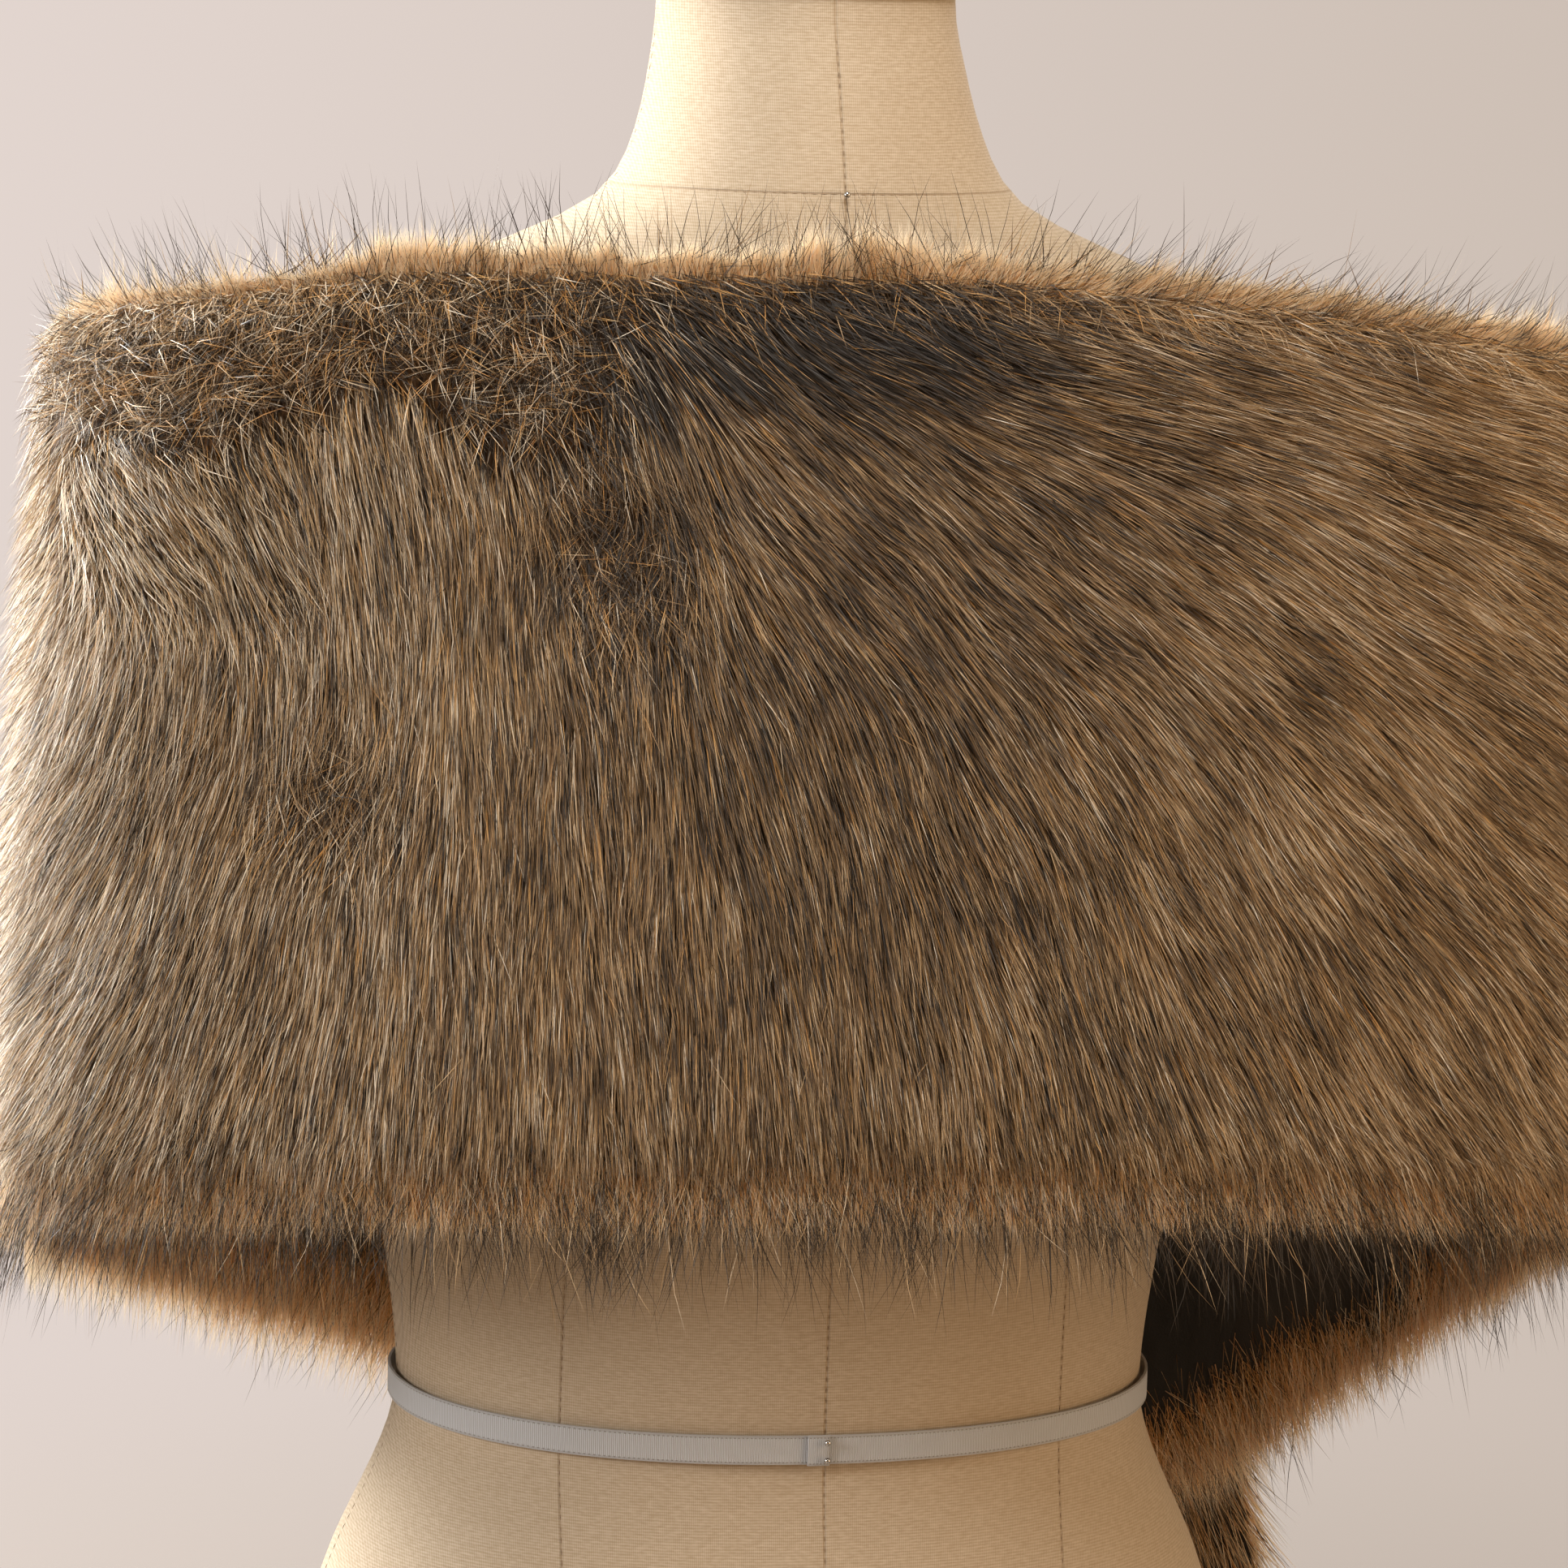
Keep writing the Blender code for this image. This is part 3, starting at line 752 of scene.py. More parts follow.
def top_fringe(rng, count, span, settings, needles):
    """The pale underfur that stands up along the top edge."""
    place = rng.uniform(*span, count)
    aside, chance, swing = locks(place, 0 * place, TOP_LOCK)
    rolled = eased((place - EDGE_STEP) / 0.012)
    right = eased((0.03 - place) / 0.10)
    deep = 0.012 + (0.028 + 0.032 * rolled) * rng.random(count) ** 1.6
    down = rng.uniform(-0.005, deep, count)
    lean = math.pi + math.radians(10) * (1 + 0.9 * rolled) * rng.normal(size=count)
    lean += math.radians(5) * swing + math.radians(8) * ripple(42, place, 0 * place, 0.016, 1)
    lean -= math.radians(46) * right
    lean += math.radians(28) * eased((place - 0.125) / 0.06)
    lean += math.radians(36) * eased((place - 0.215) / 0.05)
    travel = rng.uniform(0.005, 0.0155, count) * (1 + 0.12 * right)
    travel *= 0.86 - rolled * (0.50 - 1.10 * rng.random(count) ** 7)
    travel *= 0.92 + 0.13 * ripple(41, place, 0 * place, 0.009, 1) + 0.08 * chance
    travel *= 1 + 0.14 * ripple(43, place, 0 * place, 0.035, 1)
    out = rng.uniform(-0.0010, 0.0060, count) + rolled * rng.uniform(-0.003, 0.004, count)
    width, twist, shares, widths = fuzz(rng, count, settings, needles)
    tone = rng.uniform(*CREAM, count)
    tone = retoned(rng, tone, 0.55 * eased(down / 0.03), GOLDEN)
    tone = retoned(rng, tone, 0.04 + 0.58 * eased((down - 0.008) / 0.03), (0.05, 0.6))
    return strands(
        backing, pile, place, down, lean, travel, lift(out, 0.0038, shares), width, twist, tone,
        math.radians(8) * rng.normal(size=count), (-0.30 * aside, 0 * aside), shares, widths,
        low=True,
    )


def hem_fringe(rng, count, span, settings, needles, longer=1.0):
    """The golden underfur that shows along the hem."""
    place = rng.uniform(*span, count)
    down = rng.uniform(0.905, 1.0, count)
    aside, _, swing = locks(place, down, HEM_LOCK)
    lean = 0.35 * combed(place, down) + math.radians(9) * rng.normal(size=count)
    lean += math.radians(4) * swing
    travel = rng.uniform(0.009, 0.0155, count) * longer
    out = rng.uniform(0.0030, 0.0095, count)
    width, twist, shares, widths = fuzz(rng, count, settings, needles)
    tone = rng.uniform(*GOLDEN, count)
    tone = retoned(rng, tone, 0.42, CREAM)
    tone = retoned(rng, tone, 0.02, (0.05, 0.5))
    return strands(
        backing, pile, place, down, lean, travel, lift(out, 0.0012, shares), width, twist, tone,
        math.radians(10) * rng.normal(size=count), (0.35 * aside, 0 * aside), shares, widths,
        low=True,
    )


def inner_fringe(rng, count, span, deep, settings, needles, longer=1.0):
    """Fur turned to the inside along a hem."""
    place = rng.uniform(*span, count)
    down = deep[0] + (deep[1] - deep[0]) * rng.random(count) ** 0.32
    lean = math.radians(14) * rng.normal(size=count)
    travel = rng.uniform(0.008, 0.021, count) * longer
    out = -SEAM_GAP - LINING - rng.uniform(0.0006, 0.0050, count)
    width, twist, shares, widths = fuzz(rng, count, settings, needles)
    toward = eased((down - deep[0]) / (deep[1] - deep[0]))
    pale = rng.random(count) < 0.8 * toward
    tone = np.where(pale, rng.uniform(*CREAM, count), rng.uniform(*GOLDEN, count))
    tone = retoned(rng, tone, 0.10 + 0.60 * (1 - eased(1.6 * toward)), (0.0, 0.4))
    return strands(
        backing, pile, place, down, lean, travel,
        lift(out, -SEAM_GAP - LINING - 0.0003, shares), width, twist, tone,
        math.radians(8) * rng.normal(size=count), None, shares, widths, low=True,
    )


def guard_hair(rng, count, span, at_top, settings):
    """Thin dark guard hairs that stand beyond an edge."""
    place = rng.uniform(*span, count)
    if at_top:
        down = rng.uniform(-0.002, 0.045, count)
        lean = math.pi + math.radians(15) * rng.normal(size=count)
        lean += math.radians(14) * ripple(51, place, 0 * place, 0.03, 1)
        lean -= math.radians(48) * eased((0.0 - place) / 0.12)
        lean += math.radians(24) * eased((place - 0.125) / 0.06)
        lean += math.radians(28) * eased((place - 0.215) / 0.05)
        travel = rng.uniform(0.016, 0.036, count)
        out = rng.uniform(0.003, 0.013, count)
    else:
        down = rng.uniform(0.915, 0.995, count)
        lean = 0.4 * combed(place, down) + math.radians(12) * rng.normal(size=count)
        lean += math.radians(7) * ripple(52, place, 0 * place, 0.02, 1)
        travel = rng.uniform(0.022, 0.050, count) * rng.uniform(0.75, 1.0, count)
        out = rng.uniform(0.005, 0.011, count)
    shares = (0.0, 0.35, 0.70, 1.0)
    rise = tuple(0.002 + out * share for share in shares)
    tone = rng.uniform(0.006, 0.10, count)
    tone = retoned(rng, tone, 0.12, (0.45, 0.80))
    return strands(
        backing, pile, place, down, lean, travel, rise,
        settings.guard_width * rng.uniform(0.75, 1.25, count) * (1.0 if at_top else 1.15),
        np.clip(rng.normal(size=count) * 0.7, -1.2, 1.2), tone,
        math.radians(7) * rng.normal(size=count), shares=shares, widths=(0.9, 1.0, 0.8), low=True,
    )


def end_fringe(rng, count, end, settings):
    """Fur that stands out past a cut end of the stole."""
    inward = -1.0 if end > 0 else 1.0
    place = end + inward * rng.uniform(0, 0.022, count)
    down = rng.uniform(0.02, 0.98, count)
    lean = inward * math.radians(62) + math.radians(20) * rng.normal(size=count)
    travel = rng.uniform(0.010, 0.022, count)
    height = rng.uniform(0.4, 1.1, count)
    tone = np.where(
        rng.random(count) < 0.55, rng.uniform(*GOLDEN, count), rng.uniform(0.1, 0.7, count)
    )
    return strands(
        backing, pile, place, down, lean, travel, (0.1 + 0 * height, 0.8 * height, height),
        settings.strand_width * rng.uniform(0.7, 1.2, count),
        np.clip(rng.normal(size=count) * 0.5, -1.1, 1.1), tone,
    )


def tail_field(rng, count, settings, needles, inside=False):
    """The pile of the hanging tail, with its edges and its end, on one face."""
    side = rng.uniform(-1, 1, count)
    down = rng.uniform(0.0, 1.0, count)
    chance = rng.normal(size=count)
    near = eased((np.abs(side) - 0.45) / 0.55)
    lean = -side * math.radians(8) - np.sign(side) * near * math.radians(20)
    lean += math.radians(6) * rng.normal(size=count)
    lean += math.radians(6) * ripple(61, side * 0.06, down, 0.02, 0.2)
    travel = settings.pile_length * rng.uniform(0.7, 1.1, count)
    over = down < 0.045 * rng.random(count)
    lean = np.where(over, math.pi + 2 * lean, lean)
    travel = np.where(over, 0.5 * travel, travel)
    height = rng.uniform(0.5, 1.05, count)
    tone = toned(rng, side * 0.06 - 0.3, down, 0 * side, 0.5 * chance)
    golden = rng.random(count) < 0.10 + 0.70 * eased((np.abs(side) - 0.55) / 0.40) + 0.4 * eased(
        (down - 0.93) / 0.07
    )
    creamy = rng.random(count) < 0.8 * near
    fuzzy = np.where(creamy, rng.uniform(*CREAM, count), rng.uniform(*GOLDEN, count))
    tone = np.where(golden, fuzzy, tone)
    # Strands on the inside face are darker: painted shade on the face turned inward.
    if inside:
        tone = np.where(golden, tone, tone * 0.7)
    if needles:
        width = settings.needle_width * rng.uniform(0.5, 1.0, count)
        shares, widths = (0.0, 1.0), (1.0,)
    else:
        width = settings.strand_width * rng.uniform(0.6, 1.1, count)
        shares, widths = (0.0, 0.45, 1.0), (0.85, 1.0)
    if inside:
        out = -SEAM_GAP - LINING - 0.0055 * height
        rise, low = lift(out, -SEAM_GAP - LINING - 0.0004, shares), True
    else:
        rise, low = tuple(0.15 + (height - 0.15) * share ** 0.6 for share in shares), None
    return strands(
        tail_backing, tail_pile, side, down, lean, travel, rise, width,
        np.clip(rng.normal(size=count) * 0.5, -1.1, 1.1), tone,
        math.radians(6) * rng.normal(size=count), None, shares, widths, low,
    )


# ---------------------------------------------------------------- shader sums
class Socket:
    """A shader socket that takes part in Python sums; every node of a material comes from it."""

    def __init__(self, tree, socket=None):
        self.tree = tree
        self.socket = socket

    def node(self, kind, settings=None, sockets=None, output=0):
        made = self.tree.nodes.new("ShaderNode" + kind)
        for name, value in (settings or {}).items():
            if name == "stops":
                ramp = made.color_ramp
                while len(ramp.elements) < len(value):
                    ramp.elements.new(0.5)
                for stop, (at, colour) in zip(ramp.elements, value):
                    stop.position = at
                    stop.color = (*colour, 1.0)
            else:
                setattr(made, name, value)
        for name, value in (sockets or {}).items():
            if isinstance(value, Socket):
                self.tree.links.new(value.socket, made.inputs[name])
            else:
                made.inputs[name].default_value = value
        return Socket(self.tree, made.outputs[output])

    def maths(self, operation, *values):
        return self.node("Math", {"operation": operation}, dict(enumerate(values)))

    def __add__(self, other):
        return self.maths("ADD", self, other)

    def __radd__(self, other):
        return self.maths("ADD", other, self)

    def __sub__(self, other):
        return self.maths("SUBTRACT", self, other)

    def __rsub__(self, other):
        return self.maths("SUBTRACT", other, self)

    def __mul__(self, other):
        return self.maths("MULTIPLY", self, other)

    def __rmul__(self, other):
        return self.maths("MULTIPLY", other, self)

    def sine(self):
        return self.maths("SINE", self)

    def part(self, index):
        """One of a vector's three values."""
        return self.node("SeparateXYZ", sockets={0: self}, output=index)

    def scaled(self, *shares):
        return self.node("Mapping", sockets={0: self, "Scale": shares})

    def noise(self, scale, detail=1.0, distortion=0.0):
        return self.node("TexNoise", sockets={"Vector": self, "Scale": scale, "Detail": detail,
                                              "Distortion": distortion})

    def stepped(self, low, high):
        """0 below low, 1 above high, eased between."""
        return self.node(
            "MapRange", {"interpolation_type": "SMOOTHSTEP"}, {0: self, 1: low, 2: high}
        )

    def mixed(self, first, second, blend="MIX"):
        """A colour between two, by this value."""
        return self.node(
            "Mix", {"data_type": "RGBA", "blend_type": blend},
            {0: self, 6: first, 7: second}, output=2,
        )


def srgb(red, green, blue):
    """Screen values of 0 to 255 as the shader's linear ones."""
    shares = (value / 255 for value in (red, green, blue))
    return tuple(
        share / 12.92 if share <= 0.04045 else ((share + 0.055) / 1.055) ** 2.4
        for share in shares
    )


def solid(colour):
    return (*colour, 1.0)


finishes = {}
SLOTS = {
    "fur_strands": "fur", "fur_ground": "fur", "lining_satin": "lining", "linen_cloth": "linen",
    "seam_thread": "linen", "cap_lacquer": "cap", "base_board": "board", "waist_tape": "tape",
    "pin_steel": "pin",
}


def begin(name):
    """A new finish, its socket maker and its shader."""
    made = bpy.data.materials.new(name)
    made.use_nodes = True
    finishes[name] = made
    return Socket(made.node_tree), made.node_tree.nodes["Principled BSDF"]


def feed(shader, **inputs):
    """Links or sets the shader's sockets, underscores standing for spaces."""
    for name, value in inputs.items():
        socket = shader.inputs[name.replace("_", " ")]
        if isinstance(value, Socket):
            value.tree.links.new(value.socket, socket)
        else:
            socket.default_value = value


def bumped(maker, height, distance, strength=1.0):
    return maker.node("Bump", sockets={"Height": height, "Distance": distance,
                                       "Strength": strength})


def fur_finishes(colours):
    maker, shader = begin("fur_strands")
    palette = maker.node("UVMap", {"uv_map": "OFBake"})
    u = palette.part(0)
    v = palette.part(1)
    guard = maker.node("ValToRGB", {"stops": [
        (0.00, srgb(36, 29, 23)), (0.14, srgb(68, 53, 37)), (0.34, srgb(128, 101, 69)),
        (0.54, srgb(178, 143, 100)), (0.74, srgb(218, 190, 149)), (0.88, srgb(248, 239, 222)),
    ]}, {0: u + (u * (math.tau / (2 * STRAND_SLIVER))).sine() * 0.09})
    # Guard strands darken towards the root: painted shade deep in the pile.
    root = v.stepped(0.05, 0.50)
    guard = root.mixed(solid(colours.root), guard)
    tip = v.stepped(0.70, 1.0) * 0.25
    guard = tip.mixed(guard, solid(srgb(74, 62, 50)))
    # The underfur ramp starts dark at the root, painted shade deep in the pile.
    under = maker.node("ValToRGB", {"stops": [
        (0.0, srgb(132, 86, 42)), (0.28, srgb(208, 148, 80)), (0.60, srgb(240, 190, 118)),
        (1.0, srgb(248, 224, 184)),
    ]}, {0: v})
    varied = u.stepped(0.90, 0.935)
    under = (varied * 0.8).mixed(under, solid(srgb(218, 156, 82)))
    # The cream ramp is brightened as a painted glow of light through the backlit fringe, and starts
    # dark at the root as painted shade.
    cream = maker.node("ValToRGB", {"stops": [
        (0.0, srgb(140, 96, 56)), (0.15, srgb(216, 172, 120)), (0.44, srgb(250, 228, 190)),
        (1.0, srgb(255, 250, 238)),
    ]}, {0: v})
    soft, palest = u.stepped(*UNDER_FROM), u.stepped(*CREAM_FROM)
    colour = soft.mixed(guard, palest.mixed(under, cream))
    feed(shader, Base_Color=colour, Roughness=0.48)
    shader.inputs["Specular IOR Level"].default_value = 0.45
    thin = maker.node("BsdfTranslucent", sockets={"Color": (1.0, 0.84, 0.62, 1.0)})
    lit = maker.node("MixShader", sockets={
        0: soft * 0.30 + palest * 0.10, 1: Socket(maker.tree, shader.outputs[0]), 2: thin,
    })
    output = maker.tree.nodes["Material Output"]
    maker.tree.links.new(lit.socket, output.inputs["Surface"])

    # The fur ground is dark brown with fine streaks, as painted shade in the gaps between the
    # strands.
    maker, shader = begin("fur_ground")
    spot = maker.node("TexCoord", output=3)
    long = spot.scaled(1.0, 1.0, 0.12)
    streak = long.noise(900.0)
    feed(shader, Roughness=0.85, Base_Color=streak.stepped(0.32, 0.72).mixed(
        solid(srgb(42, 30, 18)), solid(srgb(112, 80, 46))
    ))


def cloth_finishes(colours):
    maker, shader = begin("linen_cloth")
    spot = maker.node("TexCoord", output=3)
    x = spot.part(0)
    z = spot.part(2)
    wander = spot.noise(45.0, 0.0)
    flat = spot.scaled(0.30, 0.30, 1.0)
    slub = flat.noise(1300.0)
    rib = ((z + wander * THREAD_WANDER) * (math.tau / WEFT)).sine() * 0.5 + 0.5
    thread = ((x + wander * THREAD_WANDER) * (math.tau / WARP)).sine() * 0.5 + 0.5
    weave = rib * 0.22 + thread * 0.22 + slub * 0.56
    broad = spot.noise(7.0)
    cloth = weave.stepped(0.20, 0.85).mixed(
        solid(colours.linen_thread), solid(colours.linen)
    )
    cloth = (broad.stepped(0.35, 0.75) * 0.25).mixed(cloth, solid(srgb(196, 172, 140)))
    centre = maker.maths("ABSOLUTE", x)
    princess = maker.maths("ABSOLUTE", centre - PRINCESS)
    y = spot.part(1)
    dip = maker.maths("MINIMUM", y - NECK_DIP_FROM, 0.0) * NECK_DIP
    neck = maker.maths("ABSOLUTE", z - dip - NECK_SEAM)
    join = maker.maths("MINIMUM", maker.maths("MINIMUM", centre, princess), neck)
    groove = join.stepped(0.0001, 0.0007)
    cloth = (groove * 0.28 + 0.72).mixed(solid(srgb(150, 122, 90)), cloth)
    height = weave * 0.00010 + groove * 0.00025
    feed(shader, Base_Color=cloth, Roughness=0.86, Normal=bumped(maker, height, 1.0))
    shader.inputs["Specular IOR Level"].default_value = 0.25
    shader.inputs["Sheen Weight"].default_value = 0.10

    maker, shader = begin("seam_thread")
    spot = maker.node("TexCoord", output=3)
    ply = spot.noise(2600.0)
    feed(shader, Roughness=0.7, Base_Color=ply.stepped(0.3, 0.7).mixed(
        solid(srgb(84, 62, 42)), solid(srgb(132, 102, 72))
    ))

    maker, shader = begin("lining_satin")
    spot = maker.node("TexCoord", output=3)
    drawn = spot.scaled(1.0, 1.0, 0.35)
    soft = drawn.noise(24.0, 3.0)
    twill = spot.noise(1500.0)
    feed(shader, Base_Color=soft.stepped(0.3, 0.75).mixed(
        solid(colours.lining), solid(srgb(30, 26, 24))
    ), Roughness=0.34 + twill * 0.16,
        Normal=bumped(maker, soft * 0.0030 + twill * 0.00008, 1.0))
    shader.inputs["Sheen Weight"].default_value = 0.05

    maker, shader = begin("waist_tape")
    along = maker.node("UVMap", {"uv_map": "Along"})
    u = along.part(0)
    v = along.part(1)
    ribbed = (u * (math.tau / TAPE_RIB)).sine() * 0.5 + 0.5
    stitch = (u * (math.tau / TAPE_STITCH)).sine().stepped(0.0, 0.35)
    edge = maker.maths("ABSOLUTE", v - 0.5)
    row = maker.maths("ABSOLUTE", edge - 0.425).stepped(0.012, 0.030)
    sewn = (1 - row) * stitch
    inside = 1 - edge.stepped(0.40, 0.44)
    tone = (ribbed * inside).mixed(solid(srgb(178, 178, 180)), solid(colours.tape))
    tone = (sewn * 0.8).mixed(tone, solid(srgb(146, 142, 138)))
    feed(shader, Base_Color=tone, Roughness=0.62,
         Normal=bumped(maker, ribbed * inside * 0.00012 + sewn * 0.00010, 1.0))
    shader.inputs["Sheen Weight"].default_value = 0.15


def hard_finishes():
    maker, shader = begin("cap_lacquer")
    spot = maker.node("TexCoord", output=3)
    grain = spot.noise(420.0, 3.0)
    feed(shader, Base_Color=grain.stepped(0.35, 0.7).mixed(
        solid(srgb(36, 32, 30)), solid(srgb(58, 50, 45))
    ), Roughness=0.60 + grain * 0.2, Specular_IOR_Level=0.25, Normal=bumped(maker, grain, 0.0002))

    maker, shader = begin("base_board")
    spot = maker.node("TexCoord", output=3)
    drawn = spot.scaled(0.7, 9.0, 2.0)
    grain = drawn.noise(16.0, 5.0, 0.6)
    pore = spot.scaled(1.0, 16.0, 6.0)
    pores = pore.noise(120.0, 2.0)
    board = grain.stepped(0.3, 0.72).mixed(solid(srgb(122, 86, 54)), solid(srgb(178, 136, 92)))
    board = (pores.stepped(0.55, 0.75) * 0.5).mixed(board, solid(srgb(88, 60, 38)))
    feed(shader, Base_Color=board, Roughness=0.42 + grain * 0.25,
         Normal=bumped(maker, pores, 0.0003))

    maker, shader = begin("pin_steel")
    spot = maker.node("TexCoord", output=3)
    brushed = spot.noise(3000.0)
    feed(shader, Metallic=1.0, Roughness=0.18 + brushed * 0.18,
         Base_Color=brushed.stepped(0.3, 0.7).mixed(
             solid(srgb(176, 174, 172)), solid(srgb(208, 207, 206))))


# ---------------------------------------------------------------- what a user may change
def length(name, description, default, low, high):
    return FloatProperty(
        name=name, description=description, default=default, min=low, max=high, unit="LENGTH",
    )


def number(name, description, default, high):
    return IntProperty(
        name=name, description=description, default=default, min=1000, max=high, subtype="UNSIGNED",
    )


def colour_of(name, description, *screen):
    return FloatVectorProperty(
        name=name, description=description, default=srgb(*screen), min=0, max=1, size=3,
        subtype="COLOR",
    )


class FurWrapSizes(bpy.types.PropertyGroup):
    """Sizes and numbers of the strands."""

    pile_length: length("Pile length", "How far a strand of the lying pile runs",
                        0.0285, 0.008, 0.06)
    strand_width: length("Strand width", "Widest part of a strand of the pile",
                         0.00033, 0.0001, 0.002)
    needle_width: length("Needle width", "Root width of a fine straight strand",
                         0.00062, 0.0001, 0.002)
    fuzz_width: length("Fuzz width", "Root width of a fine strand of the fringes",
                       0.00036, 0.0001, 0.002)
    guard_width: length("Guard hair width", "Widest part of a loose guard hair",
                        0.00019, 0.00005, 0.001)
    lock_spacing: length("Lock spacing", "Distance between the locks the pile gathers in",
                         0.0030, 0.001, 0.02)
    back_strands: number("Strands on the back", "Bent strands of the back stretch",
                         84000, 250000)
    side_strands: number("Strands on each end", "Bent strands of the left and right stretches",
                         11000, 60000)
    tail_strands: number("Strands on the tail", "Bent strands of the hanging tail",
                         6000, 60000)
    stitch_length: length("Stitch length", "Length of a stitch on the form's seams",
                          0.0020, 0.001, 0.01)
    stitch_step: length("Stitch step", "Distance from one stitch to the next",
                        0.0033, 0.0015, 0.02)


class FurWrapColours(bpy.types.PropertyGroup):
    """Main colours of the finishes."""

    # The pile root colour is dark as painted shade deep in the pile.
    root: colour_of("Pile root", "Colour of a guard strand at its root", 92, 66, 38)
    lining: colour_of("Lining", "Colour of the satin lining", 15, 13, 12)
    linen: colour_of("Linen", "Colour of the form's cloth on its raised threads", 212, 196, 175)
    linen_thread: colour_of("Linen, between threads", "Colour of the form's cloth in its hollows",
                            182, 162, 135)
    tape: colour_of("Waist tape", "Colour of the ribbed waist tape", 212, 216, 222)


# ---------------------------------------------------------------- operators
class FURWRAP_OT_finishes(bpy.types.Operator):
    """Makes every finish of the stole and its form"""

    bl_idname = "furwrap.finishes"
    bl_label = "Finishes"

    def execute(self, context):
        colours = context.scene.furwrap_colours
        fur_finishes(colours)
        cloth_finishes(colours)
        hard_finishes()
        if set(finishes) != set(SLOTS):
            raise RuntimeError("a finish has no slot")
        return {"FINISHED"}


class FURWRAP_OT_stage(bpy.types.Operator):
    """Makes the floor, the room's light and the camera"""

    bl_idname = "furwrap.stage"
    bl_label = "Stage"

    def execute(self, context):
        scene = context.scene
        scene.view_settings.view_transform = "Standard"
        scene.view_settings.look = "None"

        floor = primitive(
            "studio_floor", bpy.ops.mesh.primitive_circle_add, vertices=128,
            radius=FLOOR_RADIUS, fill_type="NGON", location=(0, 0, 0),
        )
        made = bpy.data.materials.new("pale_floor")
        made.use_nodes = True
        shader = made.node_tree.nodes["Principled BSDF"]
        maker = Socket(made.node_tree)
        spot = maker.node("TexCoord", output=3)
        far = maker.node("VectorMath", {"operation": "LENGTH"}, {0: spot}, output=1)
        feed(shader, Base_Color=solid(srgb(149, 141, 134)), Roughness=0.9,
             Alpha=1 - far.stepped(0.30, FLOOR_RADIUS))
        floor.data.materials.append(made)

        world = scene.world or bpy.data.worlds.new("studio")
        scene.world = world
        world.use_nodes = True
        world.node_tree.nodes.clear()
        maker = Socket(world.node_tree)
        seen = maker.node("LightPath")
        facing = maker.node("TexCoord", output=0)
        # The backdrop seen by the camera is darker where it lies towards the form's right: a painted
        # fall of light on the wall.
        sideways = facing.part(0)
        wall = sideways.stepped(-0.40, 0.02).mixed(
            solid(srgb(203, 189, 178)), solid(srgb(228, 215, 209))
        )
        room = maker.node("Background", sockets={0: wall, 1: 1.0})
        fill = maker.node("Background", sockets={0: (1.0, 0.72, 0.44, 1.0), 1: 0.17})
        out = world.node_tree.nodes.new("ShaderNodeOutputWorld")
        both = maker.node("MixShader", sockets={0: seen, 1: fill, 2: room})
        world.node_tree.links.new(both.socket, out.inputs[0])

        self.lamp("rim", (1.6, -1.2, 1.2), AIM, 0.9, 98, (1.0, 1.0, 0.98))
        self.lamp("key", (2.1, 0.75, 1.15), AIM, 0.9, 28, (1.0, 0.98, 0.95))
        self.lamp("top", (0.0, 0.7, 1.9), AIM, 0.9, 17, (1.0, 0.96, 0.90))
        self.lamp("right", (-1.9, 1.0, 1.3), AIM, 1.0, 12, (1.0, 0.80, 0.58))
        self.lamp("low", (-1.7, 1.2, 0.35), AIM, 0.9, 9, (1.0, 0.66, 0.38))
        self.lamp("bounce", (0.9, 1.7, 0.15), (0.0, 0.03, 0.35), 0.8, 1.8, (1.0, 0.50, 0.20))
        self.lamp("front", (-1.1, -2.0, 1.0), AIM, 1.2, 14, (1.0, 0.96, 0.90))
        self.camera(scene)
        return {"FINISHED"}

    @staticmethod
    def lamp(name, spot, target, size, energy, colour):
        bpy.ops.object.select_all(action="DESELECT")
        bpy.ops.object.light_add(type="AREA", location=spot)
        light = bpy.context.view_layer.objects.active
        light.name = name + "_light"
        light.data.shape = "DISK"
        light.data.size = size
        light.data.energy = energy
        light.data.color = colour
        way = Vector(target) - Vector(spot)
        light.rotation_euler = way.to_track_quat("-Z", "Y").to_euler()

    @staticmethod
    def camera(scene):
        """Behind the form, a little to its left and above, looking slightly down."""
        distance, azimuth, height = 1.8, math.radians(169), 0.735
        target, view_width = Vector((0, 0, 0.462)), 0.4986
        spot = Vector((math.sin(azimuth) * distance, -math.cos(azimuth) * distance, height))
        way = target - spot
        made = bpy.data.cameras.new("studio_camera")
        held = bpy.data.objects.new("studio_camera", made)
        scene.collection.objects.link(held)
        held.matrix_world = (
            Matrix.Translation(spot)
            @ way.to_track_quat("-Z", "Y").to_matrix().to_4x4()
            @ Matrix.Rotation(math.radians(1.5), 4, "Z")
        )
        made.sensor_width = 36
        made.lens = 36 * way.length / view_width
        scene.camera = held


